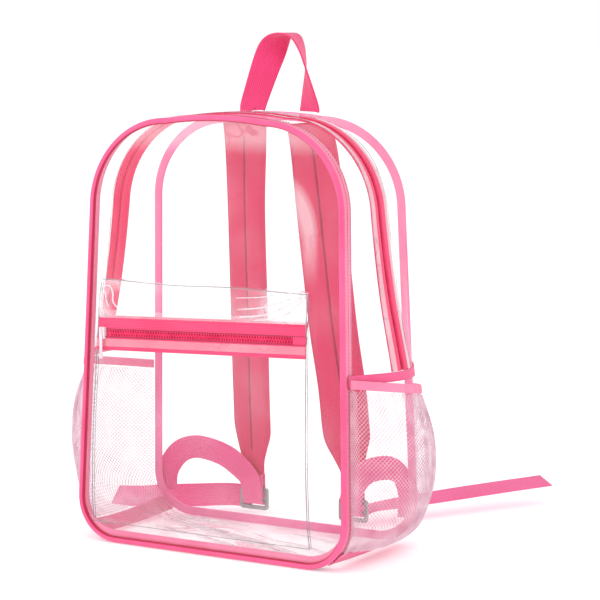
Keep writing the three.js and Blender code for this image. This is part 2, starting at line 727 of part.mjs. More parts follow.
// Ladder buckles: a plate with three bars and two slots, standing across the strap.
function buckle(sign) {
  const half = BUCKLE_WIDTH / 2;
  const height = 3 * BUCKLE_BAR + UPPER_SLOT + LOWER_SLOT;
  const outline = new THREE.Shape();
  const r = BUCKLE_CORNER;
  outline.moveTo(-half + r, 0);
  outline.lineTo(half - r, 0);
  outline.absarc(half - r, r, r, -Math.PI / 2, 0, false);
  outline.lineTo(half, height - r);
  outline.absarc(half - r, height - r, r, 0, Math.PI / 2, false);
  outline.lineTo(-half + r, height);
  outline.absarc(-half + r, height - r, r, Math.PI / 2, Math.PI, false);
  outline.lineTo(-half, r);
  outline.absarc(-half + r, r, r, Math.PI, 1.5 * Math.PI, false);
  const slot = (bottom, tall) => {
    const inner = half - BUCKLE_SIDE;
    const hole = new THREE.Path();
    hole.moveTo(-inner, bottom);
    hole.lineTo(inner, bottom);
    hole.lineTo(inner, bottom + tall);
    hole.lineTo(-inner, bottom + tall);
    hole.closePath();
    return hole;
  };
  outline.holes.push(slot(BUCKLE_BAR, LOWER_SLOT));
  outline.holes.push(slot(2 * BUCKLE_BAR + LOWER_SLOT, UPPER_SLOT));
  const geometry = new THREE.ExtrudeGeometry(outline, {
    depth: BUCKLE_THICKNESS, bevelEnabled: false, curveSegments: 3,
  });
  geometry.deleteAttribute('uv');
  geometry.rotateX(Math.PI / 2);
  geometry.translate(sign * BUCKLE_ACROSS, BUCKLE_Y + BUCKLE_THICKNESS / 2, BUCKLE_BASE);
  return geometry;
}

// The webbing tab that folds over the strap's tip and round the buckle's top bar.
const UPPER_BAR = BUCKLE_BASE + 2 * BUCKLE_BAR + LOWER_SLOT + UPPER_SLOT + BUCKLE_BAR / 2;
const BAR_CLEAR = 1.8;
const CLASP = (STRAP_TIP_THICKNESS + WEBBING_THICKNESS) / 2 + GAP;

function buckleTab(sign) {
  const reachY = BUCKLE_THICKNESS / 2 + BAR_CLEAR;
  const reachZ = BUCKLE_BAR / 2 + BAR_CLEAR;
  const row = (y, z) => ({ x: sign * BUCKLE_ACROSS, y: BUCKLE_Y + y, z, wx: -sign, wy: 0, wz: 0 });
  const bend = [180, 225, 270, 315, 360].map((degrees) => {
    const a = THREE.MathUtils.degToRad(degrees);
    return row(reachY * Math.cos(a), UPPER_BAR + reachZ * Math.sin(a));
  });
  const top = STRAP_TIP + TAB_LENGTH;
  const rows = [
    row(-CLASP, top),
    row(-CLASP, mix(STRAP_TIP, top, 0.2)),
    ...bend,
    row(CLASP, mix(STRAP_TIP, top, 0.2)),
    row(CLASP, top),
  ];
  const half = () => (WEBBING_WIDTH - 1) / 2;
  return strip(rows, 2, half, () => WEBBING_THICKNESS / 2, FLAT_PROFILE);
}

// The adjuster webbing: out of the lower back seam, over in a bow and down in front of the buckle.
// across and up are shares of the way from the buckle to the seam and of the bow's height.
const RUN_FORM = [
  { across: 1.00, up: 0.36, away: 0.00, front: 0, wx: 0.90, wy: 0.00, wz: 0.43 },
  { across: 0.99, up: 0.66, away: 0.08, front: 0, wx: 0.75, wy: 0.00, wz: 0.66 },
  { across: 0.87, up: 0.91, away: 0.22, front: 0, wx: 0.35, wy: 0.00, wz: 0.94 },
  { across: 0.70, up: 1.00, away: 0.38, front: 0, wx: 0.00, wy: 0.00, wz: 1.00 },
  { across: 0.49, up: 0.97, away: 0.50, front: 0, wx: -0.10, wy: 0.00, wz: 1.00 },
  { across: 0.28, up: 0.87, away: 0.61, front: 0, wx: -0.28, wy: 0.03, wz: 0.96 },
  { across: 0.14, up: 0.72, away: 0.73, front: 0, wx: -0.62, wy: 0.06, wz: 0.78 },
  { across: 0.04, up: 0.56, away: 0.84, front: 0, wx: -0.90, wy: 0.03, wz: 0.40 },
  { across: 0.00, up: 0.41, away: 1.00, front: 1, wx: -1.00, wy: 0.00, wz: 0.05 },
];
// Then it passes the buckle's lower slot from front to back.
const SLOT_FORM = [
  { behind: -0.84, above: 1.00 },
  { behind: -0.72, above: 0.59 },
  { behind: -0.53, above: 0.24 },
  { behind: -0.25, above: 0.04 },
  { behind: 0.19, above: 0.00 },
];
// The free ends: the right one stands out to the back, the left one runs outward on its edge.
const RIGHT_TAIL_FORM = [
  { across: 0.00, back: 0.024, height: 0.50, wx: -1.00, wy: 0.02, wz: 0.02 },
  { across: 0.08, back: 0.106, height: 0.67, wx: -0.82, wy: 0.49, wz: 0.07 },
  { across: 0.25, back: 0.271, height: 0.76, wx: -0.82, wy: 0.49, wz: 0.22 },
  { across: 0.50, back: 0.514, height: 0.86, wx: -0.82, wy: 0.49, wz: 0.29 },
  { across: 0.75, back: 0.757, height: 0.94, wx: -0.82, wy: 0.49, wz: 0.29 },
  { across: 1.00, back: 1.000, height: 1.00, wx: -0.82, wy: 0.49, wz: 0.29 },
];
const LEFT_TAIL_FORM = [
  { across: 0.006, back: 0.14, height: 0.79, wx: -0.95, wy: 0.10, wz: 0.30 },
  { across: 0.044, back: 0.25, height: 0.93, wx: -0.50, wy: 0.20, wz: 0.85 },
  { across: 0.125, back: 0.29, height: 1.02, wx: -0.10, wy: 0.00, wz: 1.00 },
  { across: 0.240, back: 0.15, height: 1.05, wx: 0.00, wy: 0.00, wz: 1.00 },
  { across: 0.420, back: -0.30, height: 0.98, wx: 0.00, wy: 0.15, wz: 0.99 },
  { across: 0.600, back: -0.65, height: 0.88, wx: 0.00, wy: 0.35, wz: 0.94 },
  { across: 0.800, back: -0.85, height: 0.70, wx: 0.00, wy: 0.60, wz: 0.80 },
  { across: 1.000, back: -0.90, height: 0.60, wx: 0.00, wy: 0.75, wz: 0.66 },
];
const SLOT_HEIGHT = BUCKLE_BASE + BUCKLE_BAR + LOWER_SLOT / 2;

function adjusterWebbing(sign, tail, tailForm) {
  const run = RUN_FORM.map((row) => {
    const z = BOW_HEIGHT * row.up;
    const seat = backAt(z) + 2 * GAP + WEBBING_THICKNESS / 2;
    return {
      x: sign * mix(BUCKLE_ACROSS, WEBBING_SEAM_ACROSS, row.across),
      y: mix(seat, BUCKLE_Y, row.away) - row.front * SLOT_STANDOFF,
      z,
      wx: sign * row.wx,
      wy: row.wy,
      wz: row.wz,
    };
  });
  const throughSlot = SLOT_FORM.map((row) => ({
    x: sign * BUCKLE_ACROSS,
    y: BUCKLE_Y + SLOT_STANDOFF * row.behind,
    z: SLOT_HEIGHT + SLOT_LEAD * row.above,
    wx: -sign,
    wy: 0,
    wz: 0,
  }));
  const freeEnd = tailForm.map((row) => ({
    x: sign * (BUCKLE_ACROSS + tail.across * row.across),
    y: BUCKLE_Y + tail.back * row.back,
    z: tail.height * row.height,
    wx: sign * row.wx,
    wy: row.wy,
    wz: row.wz,
  }));
  const rows = [...run, ...throughSlot, ...freeEnd];
  return strip(rows, 3, () => WEBBING_WIDTH / 2, () => WEBBING_THICKNESS / 2, FLAT_PROFILE);
}

for (const { side, sign } of SIDES) {
  addMesh(`shoulder_strap_${side}`, shoulderStrap(sign), pink());
  addMesh(`buckle_${side}`, buckle(sign), greyPlastic());
  addMesh(`buckle_tab_${side}`, buckleTab(sign), pink());
}
addMesh('adjuster_webbing_left', adjusterWebbing(-1, LEFT_TAIL, LEFT_TAIL_FORM), pink());
addMesh('adjuster_webbing_right', adjusterWebbing(1, RIGHT_TAIL, RIGHT_TAIL_FORM), pink());

// The haul handle: a webbing loop whose legs stand flat on the back seam and turn edge-on at the top.
const HANDLE_FORM = [
  { across: -1.00, up: 0.00, turn: 0 },
  { across: -1.00, up: 0.06, turn: 0 },
  { across: -0.76, up: 0.34, turn: 6 },
  { across: -0.46, up: 0.66, turn: 20 },
  { across: -0.18, up: 0.88, turn: 48 },
  { across: 0.16, up: 1.00, turn: 82 },
  { across: 0.50, up: 0.96, turn: 98 },
  { across: 0.72, up: 0.80, turn: 108 },
  { across: 0.86, up: 0.56, turn: 120 },
  { across: 0.94, up: 0.29, turn: 140 },
  { across: 1.00, up: 0.06, turn: 158 },
  { across: 1.00, up: 0.00, turn: 160 },
];

function haulHandle() {
  const rows = HANDLE_FORM.map((row) => {
    const a = THREE.MathUtils.degToRad(row.turn);
    return {
      x: HANDLE_OFFSET + row.across * HANDLE_SPAN / 2,
      y: backAt(HEIGHT) - BINDING_THICKNESS / 2,
      z: HEIGHT + GAP + HANDLE_HEIGHT * row.up,
      wx: Math.cos(a),
      wy: Math.sin(a),
      wz: 0,
    };
  });
  return strip(rows, 3, () => HANDLE_WEBBING / 2, () => HANDLE_THICKNESS / 2, FLAT_PROFILE);
}
addMesh('haul_handle', haulHandle(), pink());

export default bag;
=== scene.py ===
# %% [markdown]
# # A clear backpack with pink trim
# The real bag is cut from sheets of clear vinyl, sewn together between pink tapes, so everything in it can
# be seen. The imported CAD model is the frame: it says where each piece is and how big it is. Its soft solids
# could be shown with better materials, but film, cloth and net need thin surfaces with folds and threads.
# So each soft solid is replaced by a finer piece that is computed from the same named sizes.

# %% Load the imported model
import math

import bpy
import numpy as np
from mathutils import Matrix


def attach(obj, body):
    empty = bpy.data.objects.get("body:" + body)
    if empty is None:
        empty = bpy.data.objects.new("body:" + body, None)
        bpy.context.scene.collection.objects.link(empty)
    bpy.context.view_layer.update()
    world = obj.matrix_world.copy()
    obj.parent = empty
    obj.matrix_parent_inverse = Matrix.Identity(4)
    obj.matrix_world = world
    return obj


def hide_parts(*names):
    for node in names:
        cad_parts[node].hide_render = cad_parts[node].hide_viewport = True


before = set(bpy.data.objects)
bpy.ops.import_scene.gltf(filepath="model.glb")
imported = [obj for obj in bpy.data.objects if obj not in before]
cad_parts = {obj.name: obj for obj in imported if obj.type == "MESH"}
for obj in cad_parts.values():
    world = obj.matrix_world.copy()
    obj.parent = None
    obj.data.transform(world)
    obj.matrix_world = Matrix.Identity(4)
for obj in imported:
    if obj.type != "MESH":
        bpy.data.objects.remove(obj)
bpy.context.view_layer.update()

# %% [markdown]
# ## Sizes
# A bag maker works from a table of finished sizes. They could be measured on the CAD solids each time, but
# the pieces also follow curves that a box doesn't tell, so the part's named sizes are repeated here. All
# are in millimetres, and become metres when a mesh is made.

# %% Sizes of the body and its trim
HEIGHT, WIDTH_BOTTOM, WIDTH_TOP = 436, 314, 294
DEPTH_BOTTOM, DEPTH_TOP, BACK_FLARE = 151, 119, 2.5
TOP_CORNER, BOTTOM_CORNER, TOP_ARCH = 90, 45, 4
SIDE_SWELL = 30
PIPING = 6.4
GAP = 0.3
SEAM_TAPE_WIDTH = 11
BINDING_WIDTH, BINDING_THICKNESS = 9, 3.2
ZIPPER_PLACE, ZIPPER_TAPE_WIDTH, COIL_WIDTH, ZIPPER_END = 0.515, 12, 6, 190
CROSS_TAPE_WIDTH = 9
SIDE_FORM = ([0, 0.04, 0.10, 0.20, 0.33, 0.44, 0.60, 0.76, 0.92, 1],
             [0, 0.22, 0.62, 0.93, 1.00, 0.82, 0.41, 0.15, 0.01, 0])

# %% Sizes of the pockets
POCKET_WIDTH_TOP, POCKET_WIDTH_BOTTOM, POCKET_DEPTH = 238, 252, 20
POCKET_BASE, POCKET_SEAM = 24, 270
POCKET_ZIPPER, POCKET_RISE, POCKET_TAPE, POCKET_COIL = 221, 8, 13, 8
POCKET_TAB = 14
POCKET_FORM = ([0, 0.12, 0.40, 0.65, 0.80, 0.90, 1], [0.80, 1.02, 1.14, 1.06, 1.00, 0.74, 0])
FLAP_FORM = ([0, 0.12, 0.40, 0.65, 0.80, 0.92, 1], [0.80, 1.02, 1.14, 1.06, 1.00, 0.96, 0.80])
RIM_HEIGHT, RIM_DROP, NET_BASE, NET_SWELL, RIM_WIDTH = 187, 20, 18, 17, 9
NET_OFFSET, NET_RADIUS, NET_STEP = 1.9, 0.36, 4.4
NET_FORM = ([0, 0.18, 0.45, 0.75, 1], [0.05, 0.70, 1.00, 0.82, 0.20])

# %% Sizes of the straps, webbing and handle
STRAP_WIDTH, STRAP_THICKNESS, STRAP_TOP, STRAP_TIP, STRAP_TOP_ACROSS = 52, 8, 425, 31, 38
STRAP_TIP_WIDTH, STRAP_TIP_THICKNESS = 25, 3
WEBBING_WIDTH, WEBBING_THICKNESS, WEBBING_SEAM = 25, 1.5, 147
BUCKLE_ACROSS, BUCKLE_BEHIND, BUCKLE_BASE, BUCKLE_THICKNESS, BUCKLE_BAR = 61, 42, 4, 3.2, 4
UPPER_SLOT, LOWER_SLOT, TAB_LENGTH, BOW_HEIGHT, SLOT_STANDOFF, SLOT_LEAD = 7, 5, 12, 71, 6.4, 11
HANDLE_SPAN, HANDLE_HEIGHT, HANDLE_OFFSET, HANDLE_WIDTH, HANDLE_THICKNESS = 67, 78, 8, 30, 2
STITCH_PITCH, STITCH_LENGTH, STITCH_RADIUS = 3.4, 2.5, 0.38
SIDES = (("left", -1), ("right", 1))
BODY = "root"
print("height between the seams", HEIGHT - PIPING, "mm")

# %% [markdown]
# ## Surfaces
# Every piece of the bag is a strip, a sheet or a tube. Each could be modelled by hand from a plane, but
# then no size could change. Here a piece is a grid of points worked out as one array, and the grid's own
# lengths become a UV map in metres, so that weaves and ribs have their real size on it.


# %% Lengths and directions
def mix(a, b, t):
    """a at t = 0, b at t = 1 and straight between."""
    return a + (b - a) * t


def unit(v):
    """Vectors divided by their own lengths."""
    return v / np.maximum(np.linalg.norm(v, axis=-1, keepdims=True), 1e-9)


def turns(count):
    """Angles at even steps round a circle."""
    return np.linspace(0, 2 * math.pi, count + 1)[:-1]


def run_of(points):
    """Running length along a row of points."""
    return np.concatenate([[0], np.cumsum(np.linalg.norm(np.diff(points, axis=0), axis=1))])


def read_along(at, run, values):
    """Rows of three values read at distances along a path."""
    return np.stack([np.interp(at, run, values[:, k]) for k in range(3)], 1)


def read_table(rows, at):
    """Cubic curve through (place, value) rows whose slope at a row is that of the chord beside it."""
    place, value = np.array(rows[0], float), np.array(rows[1], float)
    at = np.asarray(at, float)
    i = np.clip(np.searchsorted(place, at) - 1, 0, len(place) - 2)
    before = np.maximum(i - 1, 0)
    after = np.minimum(i + 2, len(place) - 1)
    step = place[i + 1] - place[i]
    t = np.clip((at - place[i]) / step, 0, 1)
    slope_a = (value[i + 1] - value[before]) / (place[i + 1] - place[before])
    slope_b = (value[after] - value[i]) / (place[after] - place[i])
    from_a = (2 * t**3 - 3 * t**2 + 1) * value[i] + (t**3 - 2 * t**2 + t) * step * slope_a
    from_b = (3 * t**2 - 2 * t**3) * value[i + 1] + (t**3 - t**2) * step * slope_b
    return from_a + from_b


def smooth_rows(rows, count):
    """Every column of the rows read along one smooth curve, at even shares."""
    rows = np.array(rows, float)
    at = np.linspace(0, 1, count)
    place = np.linspace(0, 1, len(rows))
    return np.stack([read_table((place, rows[:, k]), at) for k in range(rows.shape[1])], 1)


# %% [markdown]
# ## The outline and the gusset
# Seen from the front, the bag is a panel with round corners, and a long band called the gusset joins the
# front panel to the back one. A lattice or a bent plane could give that band. A formula is used instead:
# any point of the gusset is a distance along the outline, a distance behind the front and a little outward.

# %% The outline of the body
CORNER_LOW, CORNER_HIGH = BOTTOM_CORNER, HEIGHT - TOP_ARCH - TOP_CORNER
BASE_HALF = WIDTH_BOTTOM / 2 - BOTTOM_CORNER
ARCH_HALF = WIDTH_TOP / 2 - TOP_CORNER
OUTLINE_STEPS = 120


def arc(x, z, radius, angle):
    """Points on a circle about x, z, with their outward normals."""
    return [x + radius * np.cos(angle), z + radius * np.sin(angle), np.cos(angle), np.sin(angle)]


def half_outline():
    """Base, lower corner arc, straight side, upper corner arc and arch, as x, z and the outward normal."""
    t = np.linspace(0, 1, OUTLINE_STEPS)[:-1]
    zero, one = np.zeros_like(t), np.ones_like(t)
    base = [BASE_HALF * t, zero, zero, -one]
    corner = arc(BASE_HALF, BOTTOM_CORNER, BOTTOM_CORNER, (t - 1) * math.pi / 2)
    side = [mix(WIDTH_BOTTOM, WIDTH_TOP, t) / 2, mix(CORNER_LOW, CORNER_HIGH, t), one, zero]
    shoulder = arc(ARCH_HALF, CORNER_HIGH, TOP_CORNER, t * math.pi / 2)
    u = 1 - np.linspace(0, 1, OUTLINE_STEPS)
    arch = [ARCH_HALF * u, HEIGHT - TOP_ARCH * u**2, 0 * u, 0 * u + 1]
    return np.concatenate([np.stack(part, 1) for part in (base, corner, side, shoulder, arch)])


OUTLINE = half_outline()
WALK = run_of(OUTLINE[:, :2])
HALF = WALK[-1]


def stations(s):
    """x, z and outward normal at the distance s along the outline, counted from the middle of the base."""
    t = np.mod(np.asarray(s, float), 2 * HALF)
    left = t > HALF
    u = np.where(left, 2 * HALF - t, t)
    x, z, nx, nz = [np.interp(u, WALK, OUTLINE[:, k]) for k in range(4)]
    sign = np.where(left, -1, 1)
    return x * sign, z, nx * sign, nz


def heights(s):
    """Heights of the stations."""
    return stations(s)[1]


def walk_at(z):
    """Distance along the right half of the outline at the height z."""
    return np.interp(z, OUTLINE[OUTLINE_STEPS - 1:, 1], WALK[OUTLINE_STEPS - 1:])


def depth_at(z):
    """Depth of the bag at a height, less at the top."""
    return mix(DEPTH_BOTTOM, DEPTH_TOP, z / HEIGHT)


SWELL_START = PIPING + GAP + SEAM_TAPE_WIDTH + GAP
SWELL_END = BINDING_THICKNESS + GAP


def gusset(s, behind, outward):
    """Outline station moved out by swell(z) * sin(pi * share of depth) plus outward, behind the front."""
    x, z, nx, nz = stations(s)
    depth = depth_at(z)
    across = np.clip((behind - SWELL_START) / (depth - SWELL_START - SWELL_END), 0, 1)
    shift = SIDE_SWELL * read_table(SIDE_FORM, z / HEIGHT) * np.sin(math.pi * across) + outward
    x, y, z = np.broadcast_arrays(
        x + nx * (shift + BACK_FLARE * behind / depth), behind - depth / 2, z + nz * shift)
    return np.stack([x, y, z], -1)


print("half outline", round(HALF, 1), "mm")

# %% [markdown]
# ## From points to meshes
# Blender's own primitives and modifiers could be bent to shape, but they would hide where a size comes
# from. Here the quads between neighbouring grid points are numbered by arithmetic. A face whose corners
# run the wrong way round shows its back, so a mesh whose faces look at the bag's middle is turned over.

# %% Make a mesh from a grid of points
MIDDLE = np.array([0, 0, HEIGHT / 2])


def quads(n, m, closed=(False, False)):
    """Grid places of the four corners of each quad, and their numbers counted row by row."""
    rows = np.arange(n if closed[0] else n - 1)
    columns = np.arange(m if closed[1] else m - 1)
    i, j = [a.ravel() for a in np.meshgrid(rows, columns, indexing="ij")]
    corners = [(i, j), (i + 1, j), (i + 1, j + 1), (i, j + 1)]
    return corners, np.stack([(a % n) * m + b % m for a, b in corners], 1)


def looks_inward(points, faces):
    """Whether the cones from the bag's middle to the faces add up to less than nothing."""
    corner = (points - MIDDLE)[faces]
    last = faces.shape[1] - 1
    fans = [corner[:, 0] * np.cross(corner[:, k], corner[:, k + 1]) for k in range(1, last)]
    return np.sum(fans) < 0


def grid_lengths(points, closed, axis):
    """Running length of the grid along one axis, averaged over the other."""
    ends = np.concatenate([points, points.take([0], axis)], axis) if closed else points
    step = np.linalg.norm(np.diff(ends, axis=axis), axis=-1).mean(axis=1 - axis)
    return np.concatenate([[0], np.cumsum(step)])


def add_mesh(name, points, faces, uv, material, nodes=()):
    """Millimetres become metres; the piece rides on the body and stands for the named nodes."""
    if looks_inward(points, faces):
        faces = faces[:, ::-1]
        uv = None if uv is None else uv.reshape(*faces.shape, 2)[:, ::-1]
    mesh = bpy.data.meshes.new(name)
    mesh.from_pydata((points * 0.001).tolist(), [], faces.tolist())
    if uv is not None:
        layer = mesh.uv_layers.new(name="lengths")
        layer.data.foreach_set("uv", (uv * 0.001).ravel())
    mesh.polygons.foreach_set("use_smooth", [True] * len(mesh.polygons))
    mesh.materials.append(material)
    mesh.update()
    piece = bpy.data.objects.new(name, mesh)
    bpy.context.collection.objects.link(piece)
    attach(piece, BODY)
    if nodes:
        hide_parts(*nodes)
    print(name, len(faces), "faces")
    return piece


def add_grid(name, points, material, nodes=(), closed=(False, False), caps=False):
    """Quads between neighbouring points; closed joins last to first, caps fills the two end sections."""
    n, m = points.shape[:2]
    corners, faces = quads(n, m, closed)
    along, across = [grid_lengths(points, closed[axis], axis) for axis in (0, 1)]
    uv = np.stack([np.stack([along[a], across[b]], -1) for a, b in corners], 1).reshape(-1, 2)
    if caps:
        k = np.arange(m // 2 - 1)
        cap = np.stack([k, k + 1, m - 2 - k, m - 1 - k], 1)
        faces = np.concatenate([faces, cap, cap[:, ::-1] + (n - 1) * m])
        uv = np.concatenate([uv, np.zeros((8 * len(k), 2))])
    return add_mesh(name, points.reshape(-1, 3), faces, uv, material, nodes)


def add_tube(name, points, material, nodes=()):
    """A grid whose sections are closed and whose two ends are filled."""
    return add_grid(name, points, material, nodes, closed=(False, True), caps=True)


def add_film(name, points, material, node, closed=(False, False)):
    """One sheet of film, which stands for its named node."""
    piece = add_grid(name, points, material, [node], closed)
    return piece


def many(points, faces, count):
    """Repeats one small shape's faces for count copies of its points."""
    shift = np.arange(count)[:, None, None] * points.shape[1]
    return points.reshape(-1, 3), (faces[None] + shift).reshape(-1, faces.shape[1])


# %% Carry a flat section along a path
def strip_frame(middle, wide):
    """Unit directions across the strip and out of its face."""
    along = unit(np.gradient(middle, axis=0))
    across = unit(wide - (wide * along).sum(-1, keepdims=True) * along)
    return across, unit(np.cross(along, across))


def mirrored(half):
    """A profile from its left half: the same points follow in reverse on the right."""
    return half + [(-a, b) for a, b in reversed(half) if a]


def strip(middle, wide, half_width, half_thickness, profile):
    """Section points: middle + across share * half width * wide + thick share * half thickness * normal."""
    across, normal = strip_frame(middle, wide)
    upper = np.array(profile, float)
    ring = np.concatenate([upper, upper[::-1] * [1, -1]])[None]
    width = np.broadcast_to(half_width, len(middle))[:, None, None]
    thick = np.broadcast_to(half_thickness, len(middle))[:, None, None]
    return middle[:, None] + ring[..., :1] * width * across[:, None] + ring[..., 1:] * thick * normal[:, None]


WEBBING_PROFILE = mirrored([(-1, 0.25), (-0.97, 0.8), (-0.9, 1), (-0.45, 1), (0, 1)])


# %% [markdown]
# ## Stitches
# Each seam shows a row of short raised threads. A dashed line in a texture could stand for them, but it
# looks flat up close. So each stitch is a small spindle of ten points, and a row of them is one mesh.


# %% Rows of stitches
def stitches(name, paths, normals, lift):
    """A spindle of four sides for each stitch, one pitch apart along each path, lifted along the normal."""
    shapes = []
    for path, normal in zip(paths, normals):
        run = run_of(path)
        count = max(2, int(run[-1] / STITCH_PITCH))
        ends = read_along(np.linspace(0, run[-1], count + 1), run, path)
        out = unit(read_along((np.arange(count) + 0.5) / count * run[-1], run, normal))
        centre = (ends[1:] + ends[:-1]) / 2 + out * lift
        along = unit(ends[1:] - ends[:-1])
        side = np.cross(along, out)
        rings = [centre - along * STITCH_LENGTH / 2]
        for shift in (-0.3, 0.3):
            for a, b in ((0, 1), (1, 0), (0, -1), (-1, 0)):
                rings.append(centre + along * STITCH_LENGTH * shift + (side * a + out * b) * STITCH_RADIUS)
        rings.append(centre + along * STITCH_LENGTH / 2)
        shapes.append(np.stack(rings, 1))
    points = np.concatenate(shapes)
    faces = []
    for k in range(4):
        m = (k + 1) % 4
        faces += [(0, 1 + m, 1 + k), (9, 5 + k, 5 + m), (1 + k, 1 + m, 5 + m), (1 + k, 5 + m, 5 + k)]
    flat, index = many(points, np.array(faces), len(points))
    return add_mesh(name, flat, index, None, THREAD)


# %% [markdown]
# ## Materials
# A photograph of cloth could be wrapped round the pieces, but it would stretch and show its edges. Nodes
# draw the pattern anew wherever it is needed. A small class keeps the calls short: a socket that is given
# to it becomes a link, and a plain value is set on the node or on the shader itself.


# %% Node helpers
def pigment(red, green, blue):
    """Screen colour from 0 to 255 to linear light."""
    c = np.array([red, green, blue]) / 255
    return tuple(np.where(c < 0.04045, c / 12.92, ((c + 0.055) / 1.055) ** 2.4)) + (1.0,)


BLACK, WHITE = (0, 0, 0), (255, 255, 255)


class Finish:
    """A new material with short calls for the nodes that it needs."""

    def __init__(self, name):
        self.material = bpy.data.materials.new(name)
        self.material.use_nodes = True
        self.tree = self.material.node_tree
        self.shader = self.tree.nodes["Principled BSDF"]
        self.place = self.put("ShaderNodeTexCoord").outputs["Object"]
        print("finish", name)

    def feed(self, node, key, value):
        """Links a socket to an input, or sets the input to a plain value."""
        if isinstance(value, bpy.types.NodeSocket):
            self.tree.links.new(value, node.inputs[key])
        else:
            node.inputs[key].default_value = value

    def put(self, kind, **values):
        """Adds a node; a value goes to the input of that name, or else to the node's property."""
        node = self.tree.nodes.new(kind)
        for key, value in values.items():
            label = key.replace("_", " ")
            if label in node.inputs:
                self.feed(node, label, value)
            else:
                setattr(node, key, value)
        return node

    def shade(self, **values):
        """Links or sets inputs of the shader."""
        for key, value in values.items():
            self.feed(self.shader, key.replace("_", " "), value)

    def math(self, operation, a, b=0.0):
        node = self.put("ShaderNodeMath", operation=operation)
        self.feed(node, 0, a)
        self.feed(node, 1, b)
        return node.outputs[0]

    def plus(self, a, b):
        return self.math("ADD", a, b)

    def times(self, a, b):
        return self.math("MULTIPLY", a, b)

    def noise(self, scale, detail=3.0):
        return self.put("ShaderNodeTexNoise", Vector=self.place, Scale=scale, Detail=detail).outputs["Fac"]

    def lengths(self):
        """The piece's own lengths in metres."""
        return self.put("ShaderNodeUVMap", uv_map="lengths").outputs["UV"]

    def part(self, vector, axis):
        return self.put("ShaderNodeSeparateXYZ", Vector=vector).outputs[axis]

    def share(self, value, low, high):
        """0 at low, 1 at high and straight between, held at both ends."""
        return self.put("ShaderNodeMapRange", From_Min=low, From_Max=high, Value=value).outputs["Result"]

    def between(self, axis, low, high):
        """Share from one place to another along an axis of the object, in metres."""
        return self.share(self.part(self.place, axis), low, high)

    def bump(self, height, strength, distance):
        node = self.put("ShaderNodeBump", Strength=strength, Distance=distance, Height=height)
        return node.outputs["Normal"]

    def ramp(self, factor, *stops):
        """Screen colours blended between their places."""
        node = self.put("ShaderNodeValToRGB", Fac=factor)
        elements = node.color_ramp.elements
        for element, (place, colour) in zip(elements, (stops[0], stops[-1])):
            element.position = place
            element.color = pigment(*colour)
        for place, colour in stops[1:-1]:
            elements.new(place).color = pigment(*colour)
        return node.outputs["Color"]

    def blend(self, share, plain, colour):
        """The plain colour where share is 0 and the other one where it is 1."""
        node = self.put("ShaderNodeMix", data_type="RGBA", Factor=share, A=plain, B=pigment(*colour))
        return node.outputs["Result"]


# %% [markdown]
# ## Woven cloth
# The tapes, straps and webbing are woven from pink yarn, which catches light on each crossing. A noise
# texture gives fuzz but no weave. Two sine waves at right angles, one thread apart, give the weave, a
# wider wave gives the ribs of webbing, and slow noise keeps the dye from looking painted.


# %% Cloth
def bands(width):
    """Scale of a wave texture whose period is width in millimetres, as its phase is 20 * scale * metres."""
    return 2 * math.pi * 1000 / width / 20


def woven(name, dark, light, thread=0.55, ribs=0.0, depth=0.35):
    """Weave = the larger of two crossing sine waves one thread apart; colour follows it as a painted highlight on
    the crossings, and a slow noise of uneven dye.
    """
    finish = Finish(name)
    uv = finish.lengths()
    waves = []
    for direction in "XY":
        wave = finish.put("ShaderNodeTexWave", bands_direction=direction, Vector=uv, Scale=bands(thread),
                          Distortion=0.6, Detail_Scale=3.0)
        waves.append(wave.outputs["Fac"])
    height = weave = finish.math("MAXIMUM", *waves)
    if ribs:
        rib = finish.put("ShaderNodeTexWave", bands_direction="Y", Vector=uv, Scale=bands(ribs))
        height = finish.plus(finish.times(weave, 0.4), rib.outputs["Fac"])
    # The colour is lighter where weave and ribs stand high, a painted highlight on the crossings; the slow noise is
    # uneven dye.
    shading = finish.plus(finish.times(height, 0.45), finish.times(finish.noise(16.0, 4.0), 0.75))
    fibre = finish.times(finish.noise(900.0, 2.0), 0.3)
    finish.shade(Base_Color=finish.ramp(shading, (0.22, dark), (0.85, light)),
                 Normal=finish.bump(finish.plus(height, fibre), depth, 0.0004),
                 Roughness=0.82, Sheen_Weight=0.25, Sheen_Roughness=0.5)
    return finish


def cloth(name, dark, light, **more):
    """The material of a woven finish."""
    return woven(name, dark, light, **more).material


LIGHT_TAPE_CLOTH = cloth("light_tape_cloth", (232, 84, 130), (250, 146, 180))
TAPE_CLOTH = cloth("tape_cloth", (214, 40, 96), (244, 100, 150))
BINDING_CLOTH = cloth("binding_cloth", (226, 84, 134), (248, 142, 184), thread=0.6)
ZIPPER_CLOTH = cloth("zipper_cloth", (224, 28, 82), (250, 76, 124), thread=0.5, ribs=1.6)
STRAP_CLOTH = cloth("strap_cloth", (200, 36, 80), (228, 64, 110), thread=0.8, depth=0.3)
SEAM_CLOTH = cloth("strap_seam_cloth", (150, 26, 62), (178, 44, 84), thread=0.8)
WEBBING_CLOTH = cloth("webbing_cloth", (226, 54, 114), (246, 104, 162), thread=0.7, ribs=2.1, depth=0.6)
HANDLE_CLOTH = cloth("handle_cloth", (214, 24, 86), (238, 64, 126), thread=0.7, ribs=2.1, depth=0.6)
THREAD = cloth("sewing_thread", (204, 34, 86), (240, 104, 150), thread=0.4)


